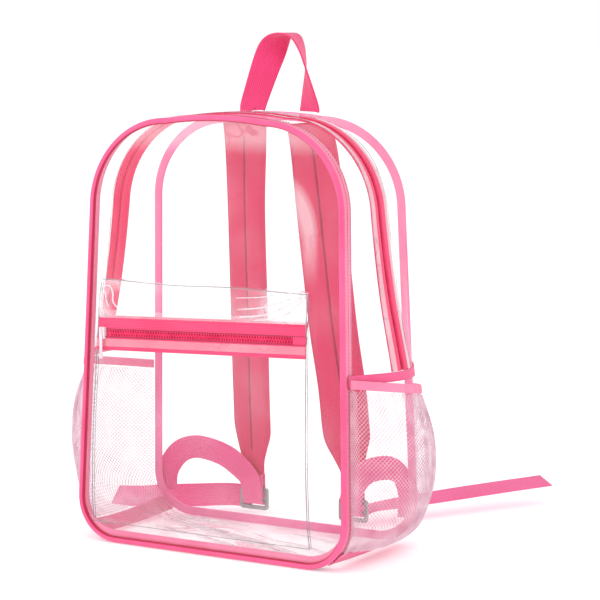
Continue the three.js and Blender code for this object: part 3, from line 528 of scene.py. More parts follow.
# %% Piping cloth
def piping_cloth():
    """A woven tube with painted shade along the grooves on both sides of it, placed by its own distance round."""
    finish = woven("piping_cloth", (226, 44, 104), (250, 104, 156), thread=0.5)
    round_share = finish.math("DIVIDE", finish.part(finish.lengths(), "Y"), math.pi * PIPING * 0.001)
    away = finish.math("ABSOLUTE", finish.math("SUBTRACT", round_share, 0.11))
    near = finish.math("MINIMUM", away, finish.math("SUBTRACT", 1.0, away))
    # Painted shade: the colour turns deeper along the grooves on both sides of the cord.
    groove = finish.ramp(near, (0.19, BLACK), (0.25, WHITE))
    plain = finish.shader.inputs["Base Color"].links[0].from_socket
    finish.shade(Base_Color=finish.blend(groove, plain, (190, 14, 66)))
    return finish.material


PIPING_CLOTH = piping_cloth()


# %% [markdown]
# ## Clear film
# Vinyl film is almost invisible seen straight on, and shows by its gloss, its milky bends and its edges.
# A glass shader would bend light as if the bag were solid. So the film is a glossy surface with a low
# alpha, which grows at low angles, in slow clouds and where the real film is bent or laid double.


# %% Film and its milky places
def film(name, haze, cloud, scale=14.0, veil=None, tint=(255, 250, 253)):
    """Alpha = haze + cloud * noise ** 4 + half of facing ** 3 + veil, at most 0.92; creases get a painted grey
    shade.
    """
    finish = Finish(name)
    slow, pleat = finish.noise(scale, 2.0), finish.noise(scale * 1.3, 2.5)
    facing = finish.put("ShaderNodeLayerWeight", Blend=0.28).outputs["Facing"]
    alpha = finish.plus(finish.times(finish.math("POWER", slow, 4.0), cloud), haze)
    alpha = finish.plus(alpha, finish.times(finish.math("POWER", facing, 3.0), 0.5))
    if veil:
        alpha = finish.plus(alpha, veil(finish, slow))
    away = finish.math("ABSOLUTE", finish.math("SUBTRACT", pleat, 0.5))
    # Painted shade: a grey line along the pleats, where the film creases.
    line = finish.times(finish.share(away, 0.016, 0.0), finish.share(slow, 0.42, 0.6))
    clear = finish.ramp(finish.noise(scale * 2.5), (0.3, [v - 12 for v in tint]), (0.7, tint))
    ripple = finish.plus(slow, finish.times(pleat, 0.5))
    finish.shade(Base_Color=finish.blend(finish.times(line, 0.85), clear, (178, 162, 172)),
                 Alpha=finish.math("MINIMUM", alpha, 0.92), Normal=finish.bump(ripple, 0.4, 0.004),
                 Roughness=0.06, IOR=1.52, Specular_IOR_Level=1.0, Coat_Weight=1.0, Coat_Roughness=0.03)
    return finish.material


def front_veil(finish, _):
    """Glare where the front film bends to its top seam and along the right of the shoulder."""
    ring = finish.times(finish.part(finish.lengths(), "X"), 5.4)
    band = finish.ramp(ring, (0.74, BLACK), (0.80, WHITE), (0.85, WHITE), (0.90, BLACK))
    shoulder = finish.times(finish.between("X", 0.075, 0.10), finish.between("Z", 0.27, 0.33))
    glare = finish.times(finish.times(shoulder, band), 0.38)
    return finish.math("MAXIMUM", glare, finish.times(finish.between("Z", 0.398, 0.412), 0.24))


def base_veil(finish, slow):
    """Milky where the film lies on the floor, fading up the sides; a slow noise breaks it up."""
    low = finish.between("Z", 0.026, 0.004)
    return finish.times(finish.times(low, finish.share(slow, 0.3, 0.62)), 0.42)


def flap_veil(finish, slow):
    """Milky at the two bunched ends of the flap."""
    ends = finish.math("MAXIMUM", finish.between("X", -0.07, -0.10), finish.between("X", 0.045, 0.085))
    return finish.times(finish.times(ends, finish.share(slow, 0.36, 0.58)), 0.42)


FILM = film("clear_film", 0.012, 0.3)
FRONT_FILM = film("front_film_gloss", 0.012, 0.2, veil=front_veil)
BASE_FILM = film("base_film", 0.02, 0.4, 13.0, base_veil, (252, 228, 237))
CREASED_FILM = film("creased_film", 0.06, 1.0, 26.0, flap_veil, (255, 240, 246))
# Painted highlight: milky film for the beads along the folds.
FOLD_HIGHLIGHT_FILM = film("fold_highlight_film", 0.34, 1.6, 30.0, tint=(255, 244, 248))
# Painted shade: grey film for the beads in the base creases; the same grey also draws the film's edges beside the
# main zipper tapes.
CREASE_LINE = film("crease_line", 0.20, 2.4, 22.0, tint=(196, 160, 176))
LAP_FILM = film("lap_film", 0.26, 0.5, 30.0, tint=(252, 226, 236))
GUSSET_LAP_FILM = film("gusset_lap_film", 0.50, 0.8, 24.0, tint=(252, 230, 238))
EDGE_WELD = film("film_weld", 0.42, 2.0, 60.0, tint=(150, 138, 146))


# %% [markdown]
# ## Hard and knitted parts
# The zipper teeth, the buckles and the net's yarn are moulded or drawn nylon, and the sliders are painted
# metal. A plain colour would look like toy plastic. A fine grain for bump and a slow noise in colour and
# roughness give each the small unevenness of a worn surface.


# %% Plastic, painted metal and net thread
def moulded(name, dark, light, rough, grain, coat=0.0):
    """A fine grain for bump and a slow noise for colour and roughness."""
    finish = Finish(name)
    slow = finish.noise(60.0, 4.0)
    roughness = finish.put("ShaderNodeMapRange", To_Min=rough - 0.08, To_Max=rough + 0.08, Value=slow)
    finish.shade(Base_Color=finish.ramp(slow, (0.3, dark), (0.7, light)),
                 Roughness=roughness.outputs["Result"],
                 Normal=finish.bump(finish.noise(grain, 2.0), 0.15, 0.0002), Coat_Weight=coat)
    return finish.material


TEETH_PLASTIC = moulded("zipper_teeth", (224, 34, 90), (250, 64, 118), 0.6, 1500.0)
SLIDER_PAINT = moulded("slider_paint", (214, 190, 200), (238, 220, 228), 0.28, 2000.0, coat=0.4)
BUCKLE_PLASTIC = moulded("buckle_plastic", (136, 140, 138), (164, 166, 162), 0.5, 1800.0)
NET_THREAD = moulded("net_thread", (212, 160, 180), (246, 222, 232), 0.6, 1400.0)

# %% [markdown]
# ## Film of the body
# Two panels and three lengths of gusset make the clear box. Cloth simulation could stretch them, but each
# is held taut by its seams all round, so a formula is enough: a panel bows a little in its middle, and the
# gusset film puckers at the lower corners, where the real one is eased round the bend.


# %% Front and back film
def panel(name, inset, behind_of, bulge, node, material):
    """Rings shrunk from the outline to its middle; the film bows by bulge * (1 - radius share ** 4)."""
    s = np.linspace(0, 2 * HALF, 361)[:-1]
    edge = gusset(s, behind_of(heights(s)), -inset)
    share = np.sin(np.linspace(0.01, math.pi / 2, 36))[:, None, None]
    points = MIDDLE + share * (edge - MIDDLE)
    flat = behind_of(points[..., 2]) - depth_at(points[..., 2]) / 2
    points[..., 1] = flat + bulge * (1 - share[..., 0] ** 4)
    add_film(name, points, material, node, (False, True))


panel("front_film", 4.6, lambda z: PIPING / 2 + 0 * z, -2.0, "front_panel", FRONT_FILM)
panel("back_film", 5.0, lambda z: depth_at(z) - BINDING_THICKNESS / 2, 1.0, "back_panel", FILM)

# %% Stretches of the gusset
WHOLE = np.linspace(0, 2 * HALF, 541)[:-1]
OVER = np.linspace(walk_at(ZIPPER_END), 2 * HALF - walk_at(ZIPPER_END), 321)
UNDER = np.linspace(-walk_at(ZIPPER_END - GAP), walk_at(ZIPPER_END - GAP), 361)
TAPE_EDGE = COIL_WIDTH / 2 + GAP + ZIPPER_TAPE_WIDTH
FILM_START, FILM_STOP, FILM_LAP = 3.6, 1.6, 2.5
over_depth, under_depth = depth_at(heights(OVER)), depth_at(heights(UNDER))
over_zip = ZIPPER_PLACE * over_depth


def behind_rows(s, near, far, columns):
    """Distances behind the front from one edge of a band to the other, for every station."""
    near, far = [np.broadcast_to(edge, s.shape)[:, None] for edge in (near, far)]
    return mix(near, far, np.linspace(0, 1, columns)[None])


# %% Gusset film
def film_band(name, s, near, far, columns, node, wrinkle=0.0, material=FILM):
    """One sheet on the gusset; wrinkles are waves across the film, strongest at the lower corners."""
    behind = behind_rows(s, near, far, columns)
    corner = np.exp(-((heights(s)[:, None] - 22) / 26) ** 2)
    wave = np.sin(behind / 5.5 + 3 * np.sin(s[:, None] / 17 + 1)) * np.sin(s[:, None] / 9 + behind / 30)
    inward = wrinkle * corner * wave * np.sin(math.pi * np.linspace(0, 1, columns))
    points = gusset(s[:, None], behind, -0.5 - np.abs(inward))
    add_film(name, points, material, node)


film_band("gusset_front_film", OVER, FILM_START, over_zip - TAPE_EDGE + FILM_LAP, 12, "gusset_front")
film_band("gusset_rear_film", OVER, over_zip + TAPE_EDGE - FILM_LAP, over_depth - FILM_STOP, 12,
          "gusset_rear")
film_band("gusset_lower_film", UNDER, FILM_START, under_depth - FILM_STOP, 40, "gusset_lower",
          1.3, BASE_FILM)

# %% [markdown]
# ## Piping, seam tape and binding
# A cord in a cloth sleeve edges the front, a tape covers its raw seam inside, and a folded strip binds the
# back seam. A bevelled curve could carry each section, but it would not follow the swelling gusset. So
# each is a section of a few points carried round the outline with the gusset's own formula.

# %% Piping and seam tape
radius = PIPING / 2
angle = turns(14)[None]
piping_points = gusset(WHOLE[:, None], radius - radius * np.cos(angle), radius * np.sin(angle) - radius)
add_grid("front_piping_cord", piping_points, PIPING_CLOTH, ["front_piping"], closed=(True, True))
TAPE_LEG, TAPE_BASE_LEG, TAPE_BASE_HEIGHT = 2.4, 7.6, 40
TAPE_SECTION = [
    (17.7, -1.2, 0), (12, -1.2, 0), (7.2, -1.2, 0), (5.0, -1.6, 0), (4.6, -2.6, 0), (4.8, -2.6, 0.5),
    (4.8, -2.6, 1), (5.4, -2.6, 1), (5.5, -2.8, 0.4), (5.8, -2.4, 0), (7.4, -1.9, 0), (12, -1.9, 0), (17.7, -1.9, 0)]


def seam_tape():
    """An L section: one leg on the gusset, one standing inside the front film, highest along the base."""
    leg = TAPE_LEG + TAPE_BASE_LEG * np.clip(1 - heights(WHOLE) / TAPE_BASE_HEIGHT, 0, 1)
    return np.stack([gusset(WHOLE, behind, outward - up * leg) for behind, outward, up in TAPE_SECTION], 1)


add_grid("front_seam_tape_cloth", seam_tape(), LIGHT_TAPE_CLOTH, ["front_seam_tape"],
         closed=(True, True))


# %% Back binding
def round_box(angle, power):
    """Across and thick shares of a rounded box: cosine and sine raised to a power, with their signs."""
    return [np.sign(v) * np.abs(v) ** power for v in (np.cos(angle), np.sin(angle))]


round_x, round_y = round_box(turns(20)[None], 0.6)
back_line = depth_at(heights(WHOLE))[:, None] - BINDING_THICKNESS / 2
binding_points = gusset(WHOLE[:, None], back_line + BINDING_THICKNESS / 2 * round_y,
                        -BINDING_WIDTH / 2 * (1 - round_x))
add_grid("back_binding_cloth", binding_points, BINDING_CLOTH, ["back_seam_binding"],
         closed=(True, True))

# %% [markdown]
# ## Main zipper
# Two woven tapes meet over the top of the bag, the hems of the film lie over them, and a coil of teeth
# closes them. An array modifier could repeat one tooth, but it can't make the teeth take turns from two
# sides on a curve that swells. So all teeth are placed at once along the middle line of the gusset.


# %% Zipper tapes, laps and cross seams
def ring_band(name, s, near, far, columns, outer, thickness, material, nodes=(), swell=0.0):
    """A closed sheet between two distances behind the front, swelling by sin(pi * share) in its middle."""
    behind = behind_rows(s, near, far, columns)
    crown = swell * np.sin(math.pi * np.linspace(0, 1, columns))
    upper = gusset(s[:, None], behind, outer + crown)
    lower = gusset(s[:, None], behind, outer - thickness + crown)
    add_tube(name, np.concatenate([upper, lower[:, ::-1]], 1), material, nodes)


EDGE, HEM = COIL_WIDTH / 2 - 0.6, 6.5
for end, near, far in (("front", -TAPE_EDGE, -EDGE), ("rear", EDGE, TAPE_EDGE)):
    ring_band(f"zipper_tape_{end}_cloth", OVER, over_zip + near, over_zip + far, 7, 0.1, 0.8, ZIPPER_CLOTH,
              [f"main_zipper_tape_{end}"], swell=0.5)
for end, near, far in (("front", -TAPE_EDGE, HEM - TAPE_EDGE), ("rear", TAPE_EDGE - HEM, TAPE_EDGE)):
    hem = gusset(OVER[:, None], behind_rows(OVER, over_zip + near, over_zip + far, 5), 0.95)
    add_grid(f"zipper_lap_{end}", hem, GUSSET_LAP_FILM)


def cross_band(name, low, high, node, sign):
    """A sheet across the gusset between two heights, from the piping to the binding."""
    s = sign * np.linspace(walk_at(low), walk_at(high), 8)
    ring_band(name, s, PIPING + GAP, depth_at(heights(s)) - SWELL_END, 44, 1.2, 0.9, TAPE_CLOTH, [node])


for side, sign in SIDES:
    top = ZIPPER_END - GAP
    cross_band(f"cross_seam_cloth_{side}", top - CROSS_TAPE_WIDTH, top, f"cross_seam_tape_{side}", sign)
    cross_band(f"pocket_base_cloth_{side}", 6, NET_BASE - GAP, f"side_pocket_base_{side}", sign)

# %% Zipper teeth
TOOTH_RINGS = ((-0.16, 0.75), (-0.06, 1.0), (0.4, 1.0), (0.5, 0.7))
TOOTH_SECTION = ((-1, -0.5), (-1, 0.5), (-0.4, 1), (0.4, 1), (1, 0.5), (1, -0.5))
TOOTH_LENGTH, TOOTH_HEIGHT = 0.42, 1.25


def teeth(name, middle, across, normal, pitch, width, node):
    """Rounded bars that take turns from the two sides, one pitch apart along the middle line."""
    run = run_of(middle)
    count = int(run[-1] / pitch)
    at = (np.arange(count) + 0.5) * run[-1] / count
    place, side, out = [read_along(at, run, v) for v in (middle, across, normal)]
    along = unit(np.gradient(place, axis=0))
    side = side * np.where(np.arange(count) % 2 == 0, 1, -1)[:, None]
    rings = []
    for share, size in TOOTH_RINGS:
        for a, b in TOOTH_SECTION:
            rings.append(place + side * share * width + along * a * size * pitch * TOOTH_LENGTH
                         + out * b * size * TOOTH_HEIGHT)
    end = np.array([(0, 1, 2, 3), (0, 3, 4, 5)])
    faces = np.concatenate([quads(4, 6, (False, True))[1], end, end[:, ::-1] + 18])
    flat, index = many(np.stack(rings, 1), faces, count)
    mirror = np.repeat((np.cross(along, out) * side).sum(-1) < 0, len(faces))
    index[mirror] = index[mirror][:, ::-1]
    add_mesh(name, flat, index, None, TEETH_PLASTIC, [node])


def zipper_line(s, outward):
    """Points on the main zipper's middle line."""
    return gusset(s, ZIPPER_PLACE * depth_at(heights(s)), outward)


ring_band("main_coil_backing", OVER, over_zip - 2.8, over_zip + 2.8, 4, -0.9, 0.4, ZIPPER_CLOTH)
coil_run = np.linspace(walk_at(ZIPPER_END), 2 * HALF - walk_at(ZIPPER_END + 14), 900)
middle = zipper_line(coil_run, 0.2)
normal = unit(zipper_line(coil_run, 1.0) - middle)
across = unit(np.cross(unit(np.gradient(middle, axis=0)), normal))
teeth("main_zipper_teeth", middle, across, normal, 1.45, COIL_WIDTH, "main_zipper_coil")

# %% [markdown]
# ## Sliders
# A slider is a small cast body with a bridge and a hanging pull. A bevelled cube would do for each block,
# but its modifier would have to be applied. A cube whose corners are pushed out from a smaller box gives
# the same rounded block as plain points, and five of them joined make a slider.


# %% Soft blocks and the main slider
def soft_block(size, corner, cuts=4):
    """A cube grid pulled to a box whose edges are arcs: clamp to the inner box, push out by the corner."""
    steps = np.linspace(-1, 1, cuts + 1)
    a, b = [grid.ravel() for grid in np.meshgrid(steps, steps, indexing="ij")]
    quad = quads(cuts + 1, cuts + 1)[1]
    sides, faces = [], []
    for axis in range(3):
        for sign in (-1, 1):
            points = np.zeros((len(a), 3))
            points[:, axis] = sign
            points[:, (axis + 1) % 3] = a
            points[:, (axis + 2) % 3] = b
            faces.append((quad if sign > 0 else quad[:, ::-1]) + len(sides) * len(a))
            sides.append(points)
    cube = np.concatenate(sides)
    half = np.array(size) / 2
    full = cube * half
    inner = np.clip(full, corner - half, half - corner)
    return inner + unit(full - inner + cube * 1e-6) * corner, np.concatenate(faces)


SLIDER_BLOCKS = [
    ((12, 7.0, 2.0), 0.9, (0, 0, 2.6)), ((12, 7.0, 1.6), 0.7, (0, 0, 0.2)),
    ((6.5, 2.0, 3.2), 0.9, (1.5, 0, 3.9)), ((24, 3.4, 1.3), 0.6, (-13.5, 0, 4.6)),
    ((4.4, 4.6, 1.9), 0.8, (-23.5, 0, 4.6))]


def slider(name, place, along, across, out, node):
    """Body, bridge and a flat pull with a hole's rim, placed by three directions."""
    points, faces, base = [], [], 0
    for size, corner, shift in SLIDER_BLOCKS:
        block, index = soft_block(size, corner)
        points.append(place + (block + shift) @ np.array([along, across, out]))
        faces.append(index + base)
        base += len(block)
    add_mesh(name, np.concatenate(points), np.concatenate(faces), None, SLIDER_PAINT, [node])


slider_walk = 2 * HALF - walk_at(ZIPPER_END + 7)
spot = zipper_line(slider_walk + np.array([-1, 0, 1]), 0.4)
out = unit(zipper_line(np.array([slider_walk]), 2.0)[0] - spot[1])
upward = unit(spot[0] - spot[2])
slider("main_slider", spot[1], upward, np.cross(out, upward), out, "main_zipper_slider")

# %% [markdown]
# ## Side pockets
# Each side pocket is a knitted net that hangs full between a base strip and an elastic rim. An image with
# holes would look like a net from afar only, and casts no true shadow. So real threads cross each other:
# two families of thin tubes on the swollen surface, which show the light and dark of a net by themselves.


# %% Side pocket net
def net_point(sign, up, share, outward):
    """Gusset point plus the pocket's own swell: form(up) * sin(pi * share ** bend), with small gathers."""
    share = np.clip(share, 0, 1)
    z = mix(NET_BASE, RIM_HEIGHT - RIM_DROP * share - RIM_WIDTH, up)
    bend, extra = (1.25, 2.0) if sign > 0 else (0.80, 5.0)
    form = read_table(NET_FORM, np.clip(up, 0, 1))
    swell = (NET_SWELL + extra) * form * np.sin(math.pi * share ** bend)
    gathers = 0.9 * np.sin(share * 70) * np.sin(math.pi * share) * np.clip(up, 0, 1) ** 2
    behind = mix(PIPING + GAP, depth_at(z) - SWELL_END, share)
    return gusset(walk_at(z), behind, swell + gathers + outward * (1 - 0.8 * share ** 8)) * [sign, 1, 1]


def net(name, sign, node):
    """Two families of threads cross at even heights: up = shift + slope * share, and the same mirrored."""
    points, faces, base = [], [], 0
    wide, tall = 200.0, 160.0
    ring = np.array([(0, 1), (1, 0), (0, -1), (-1, 0)])[None] * NET_RADIUS
    run = np.linspace(0, 1, 81)
    for lean in (-1, 1):
        for shift in np.arange(2 - wide, tall, NET_STEP):
            up = (shift + wide * (run if lean > 0 else 1 - run)) / tall
            inside = (up >= 0) & (up <= 1)
            if inside.sum() < 4:
                continue
            share, up = run[inside], up[inside]
            path = net_point(sign, up, share, NET_OFFSET + 0.6 + 0.25 * lean)
            out = unit(net_point(sign, up, share, NET_OFFSET + 2.0) - path)
            side = np.cross(unit(np.gradient(path, axis=0)), out)
            tube = path[:, None] + ring[..., :1] * side[:, None] + ring[..., 1:] * out[:, None]
            points.append(tube.reshape(-1, 3))
            faces.append(quads(len(path), 4, (False, True))[1] + base)
            base += 4 * len(path)
    points, faces = np.concatenate(points), np.concatenate(faces)
    piece = add_mesh(name, points, faces, None, NET_THREAD, [node])


def rim(name, sign, node):
    """The elastic's closed section follows the top of the net with small gathers."""
    share = np.linspace(0, 1, 90)[:, None]
    angle = turns(14)[None]
    across = round_box(angle, 0.5)[0]
    reach = RIM_HEIGHT - RIM_DROP * share - RIM_WIDTH - NET_BASE
    gather = 0.35 * np.sin(share * 150) * np.sin(math.pi * share)
    up = 1 + (RIM_WIDTH / 2 * (1 + across)) / reach
    points = net_point(sign, up, share + 0 * angle, NET_OFFSET + 0.6 + 1.2 * np.sin(angle) + gather)
    add_tube(name, points, LIGHT_TAPE_CLOTH, [node])


for side, sign in SIDES:
    net(f"side_net_{side}", sign, f"side_pocket_{side}")
    rim(f"side_rim_{side}", sign, f"side_pocket_rim_{side}")

# %% [markdown]
# ## Front pocket
# A pocket of the same film is sewn to the front panel, and stands out from it like a shallow tray. It could
# be one inflated box, but the real one is a front, a flap and two narrow side walls. Each is a surface
# whose distance from the panel is read from a table of heights, and their back edges lie on the panel.


# %% Front pocket surfaces
def panel_face(z):
    """Outer face of the front film at a height."""
    return PIPING / 2 - 0.5 - depth_at(z) / 2


def pocket_half(z):
    """Half the pocket's width at a height."""
    return mix(POCKET_WIDTH_BOTTOM, POCKET_WIDTH_TOP, (z - POCKET_BASE) / (POCKET_SEAM - POCKET_BASE)) / 2


def pocket_point(across, z, outward, form=POCKET_FORM):
    """Across the pocket at a height, out from the panel by the section's table."""
    share = np.clip((z - POCKET_BASE) / (POCKET_SEAM - POCKET_BASE), 0, 1)
    out = 1.3 + POCKET_DEPTH * read_table(form, share) + outward
    x, y, z = np.broadcast_arrays(across * pocket_half(z), panel_face(z) - out, z)
    return np.stack([x, y, z], -1)


def on_panel(edge, z):
    """The same edge moved straight back to the front film."""
    return edge * [1, 0, 1] + np.array([0, 1, 0]) * (np.asarray(panel_face(z)) - 0.4)[..., None]


def zip_height(across):
    """Height of the pocket zipper, which rises a little to the right."""
    return POCKET_ZIPPER + POCKET_RISE * across / 2


ACROSS = np.linspace(-1, 1, 121)[:, None]
TAPE_LOW = zip_height(ACROSS) - POCKET_COIL / 2 - GAP - POCKET_TAPE
TAPE_HIGH = zip_height(ACROSS) + POCKET_COIL / 2 + GAP + POCKET_TAPE
WALL_STEPS = np.linspace(0, 1, 8)[None, :, None]
UPWARD = np.linspace(0, 1, 60)[None]

# %% Pocket front, flap and side walls
wall_z = mix(POCKET_BASE + 0 * ACROSS, TAPE_LOW + 2.0, UPWARD)
ripple = 0.5 * np.sin(wall_z / 13 + 2 * ACROSS) * np.sin(ACROSS * 9) - 0.5
front = pocket_point(ACROSS, wall_z, ripple)
base = mix(on_panel(front[:, :1], POCKET_BASE), front[:, :1], WALL_STEPS[:, :-1])
add_film("pocket_film", np.concatenate([base, front], 1), FILM, "front_pocket")

flap_z = mix(TAPE_HIGH - 2.0, POCKET_SEAM + 0 * ACROSS, UPWARD)
fold = np.sin(math.pi * UPWARD)
bunch = np.exp(-((np.abs(ACROSS) - 0.82) / 0.22) ** 2)
radial = 2.0 * fold * np.sin(ACROSS * 26 + 5 * UPWARD) * bunch
flap = pocket_point(ACROSS, flap_z, radial + 0.4 * fold - 0.5, FLAP_FORM)
shelf = mix(flap[:, -1:], on_panel(flap[:, -1:], POCKET_SEAM), WALL_STEPS[:, 1:])
add_film("pocket_flap_film", np.concatenate([flap, shelf], 1), CREASED_FILM, "front_pocket_flap")

for side, sign in SIDES:
    z = np.linspace(POCKET_BASE + 1, POCKET_SEAM - 4, 80)[:, None]
    outer = pocket_point(np.array([[sign]]), z, -0.6)
    wall = mix(outer, on_panel(outer, z), WALL_STEPS)
    add_film(f"pocket_side_film_{side}", wall, FILM, f"front_pocket_side_{side}")

# %% [markdown]
# ## Edges, folds and creases
# What the eye sees of clear film is mostly its cut edges, its welds and its creases, which gather light in
# thin lines. Bump alone can't show them, because there is too little surface to shade. So a thin bead of
# denser film runs along each edge, and the beads on the main creases and folds are painted light: grey
# ones are painted shade in the creases, milky ones are painted highlights on the folds.


# %% Welded edges
def bead(name, path, radius, material=EDGE_WELD, lead=(0.0, -1.0, 0.0)):
    """A ring of eight points carried along the path, in the plane across it."""
    along = unit(np.gradient(path, axis=0))
    side = unit(np.cross(along, np.array(lead)))[:, None]
    out = np.cross(side, along[:, None])
    angle = turns(8)[None, :, None]
    points = path[:, None] + radius * (np.cos(angle) * side + np.sin(angle) * out)
    add_tube(name, points, material)


for side, sign in SIDES:
    z = np.linspace(POCKET_BASE + 1, POCKET_SEAM - 3, 90)
    bead(f"pocket_edge_outer_{side}", pocket_point(np.array([sign]), z, 0.0, FLAP_FORM), 0.6)
    bead(f"pocket_edge_fold_{side}", pocket_point(np.array([sign]), z, -3.6, FLAP_FORM), 0.4)
edge_run = np.linspace(-1, 1, 90)
sag = 0.8 * np.sin(5 * edge_run) - 0.5
bead("pocket_edge_top", pocket_point(edge_run, POCKET_SEAM + sag, -0.4, FLAP_FORM), 0.55)
bead("pocket_edge_base", pocket_point(edge_run, POCKET_BASE + 0.5 + 0 * edge_run, -0.2), 0.4)
waver = 1.1 * np.sin(OVER / 21) + 0.6 * np.sin(OVER / 8.3)
for end, place in (("front", -TAPE_EDGE - 0.4), ("rear", TAPE_EDGE + 0.4)):
    edge_line = gusset(OVER, over_zip + place + waver, 1.3)
    bead(f"gusset_edge_{end}", edge_line, 0.4, CREASE_LINE, lead=(0.0, 1.0, 0.0))

# %% Folds of the flap, as places across the pocket and heights
FLAP_FOLDS = [
    (0.8, [(-1.00, 256), (-0.97, 263), (-0.91, 264), (-0.87, 257), (-0.86, 249), (-0.80, 243), (-0.66, 240)]),
    (0.8, [(-0.99, 250), (-0.95, 258), (-0.93, 250), (-0.90, 243)]),
    (0.7, [(0.99, 268), (0.80, 262), (0.60, 254), (0.36, 250)]),
    (1.0, [(0.98, 267), (0.82, 257), (0.62, 247), (0.38, 243)]),
    (0.7, [(0.97, 265), (0.86, 252), (0.70, 244), (0.52, 241)]),
    (0.6, [(0.70, 266), (0.55, 263), (0.34, 261)]),
    (0.5, [(-0.30, 243), (0.0, 241.5), (0.30, 242)]),
]
# Each fold is a milky bead, a painted highlight along the fold.
for number, (radius, places) in enumerate(FLAP_FOLDS):
    across, high = smooth_rows(places, 60).T
    bead(f"flap_fold_{number}", pocket_point(across, high, 0.3, FLAP_FORM), radius, FOLD_HIGHLIGHT_FILM)

# %% Creases of the base, from one place to another along the outline and behind the front
BASE_CREASES = [((-146, 128), (128, 34)), ((-122, 112), (40, 62)), ((-60, 98), (140, 18)),
                ((-138, 138), (-30, 126)), ((-10, 104), (144, 48)), ((-104, 84), (60, 22)),
                ((30, 120), (138, 92))]
RIDGE = [(-2, 0), (-1, 0.5), (0, 1.6), (1, 0.5), (2, 0)]
t = np.linspace(0, 1, 70)
half = 1.1 * np.sin(math.pi * t)
for number, ((s0, behind0), (s1, behind1)) in enumerate(BASE_CREASES):
    wave = 3.0 * np.sin(5 * t + number) + 1.2 * np.sin(13 * t + 2 * number)
    run, behind = mix(s0, s1, t), mix(behind0, behind1, t) + wave
    ridge = np.stack([gusset(run, behind + half * wide, -1.0 - up * half) for wide, up in RIDGE], 1)
    # The ridge is a real fold of film whose milky colour is a painted highlight; the grey bead is painted shade in
    # its crease.
    add_grid(f"base_fold_{number}", ridge, FOLD_HIGHLIGHT_FILM)
    bead(f"base_crease_{number}", gusset(run, behind + 1.4, -1.4), 0.32, CREASE_LINE, lead=(0.0, 0.0, 1.0))

# %% [markdown]
# ## Front pocket zipper
# The pocket closes with the same kind of zipper as the bag, sewn flat across its front, with milky film
# laps above and below and a short tab at its right end. It could be a copy of the main zipper, bent to
# shape. Building it on the pocket's own surface keeps it on the film wherever the pocket's sizes put it.


# %% Pocket tapes, laps and teeth
def pocket_tape(name, low, high, columns, node, lift=0.2, spread=ACROSS):
    """A closed sheet on the pocket between two heights, with a slight crown."""
    share = np.linspace(0, 1, columns)[None]
    z = mix(low, high, share)
    crown = 0.5 * np.sin(math.pi * share)
    upper = pocket_point(spread, z, lift + crown)
    lower = pocket_point(spread, z, lift - 0.9 + crown)
    add_tube(name, np.concatenate([upper, lower[:, ::-1]], 1), ZIPPER_CLOTH, [node])


zip_line = zip_height(ACROSS)
pocket_tape("pocket_tape_lower_cloth", TAPE_LOW, zip_line - 2.4, 8, "pocket_zipper_tape_lower")
pocket_tape("pocket_tape_upper_cloth", zip_line + 2.4, TAPE_HIGH, 8, "pocket_zipper_tape_upper")
POCKET_LAPS = (("upper", TAPE_HIGH - 2.2, TAPE_HIGH + 4 + 2 * ACROSS**2),
               ("lower", TAPE_LOW + 4, zip_line - 5.6))
for end, low, high in POCKET_LAPS:
    lap = pocket_point(ACROSS, mix(low, high, np.linspace(0, 1, 6)[None]), 1.15)
    add_grid(f"pocket_lap_{end}", lap, LAP_FILM)
TAB_SHARE = 1 - 2 * POCKET_TAB / POCKET_WIDTH_TOP
tab_across = np.linspace(TAB_SHARE, 1, 12)[:, None]
tab_line = zip_height(tab_across)
pocket_tape("pocket_end_tab_cloth", tab_line - 4.5, tab_line + 4.5, 6, "pocket_zipper_end_tab", 0.9,
            tab_across)
pocket_tape("pocket_coil_backing", zip_line - 3.4, zip_line + 3.4, 4, "pocket_zipper_coil", -0.9)
# Painted shade: a dark bead of the strap seam's cloth lies in the groove on each side of the coil.
for end, shift in (("upper", 3.9), ("lower", -3.9)):
    groove = pocket_point(ACROSS[:, 0], zip_line[:, 0] + shift, 0.75)
    bead(f"pocket_coil_groove_{end}", groove, 0.45, SEAM_CLOTH)
line = np.linspace(-TAB_SHARE, TAB_SHARE + 0.02, 400)
middle = pocket_point(line, zip_height(line), 0.2)
across = unit(pocket_point(line, zip_height(line) + 1, 0.2) - middle)
normal = unit(np.cross(unit(np.gradient(middle, axis=0)), across))
teeth("pocket_zipper_teeth", middle, across, normal, 1.5, POCKET_COIL - 1, "pocket_zipper_coil")
spot = pocket_point(np.array([-1 + POCKET_TAB / POCKET_WIDTH_TOP]), zip_height(np.array([-0.94])), 0.4)[0]
slider("pocket_slider", spot, (0, 0, 1), (1, 0, 0), (0, -1, 0), "pocket_zipper_slider")

# %% [markdown]
# ## Shoulder straps
# A shoulder strap is foam between two layers of cloth, flat at its bound edges and sewn down its middle.
# Cloth simulation with pressure would swell it, but remeshing wipes out narrow sewn channels like these.
# So a padded profile is carried along a path whose rows give the place, the lean and the share of size.

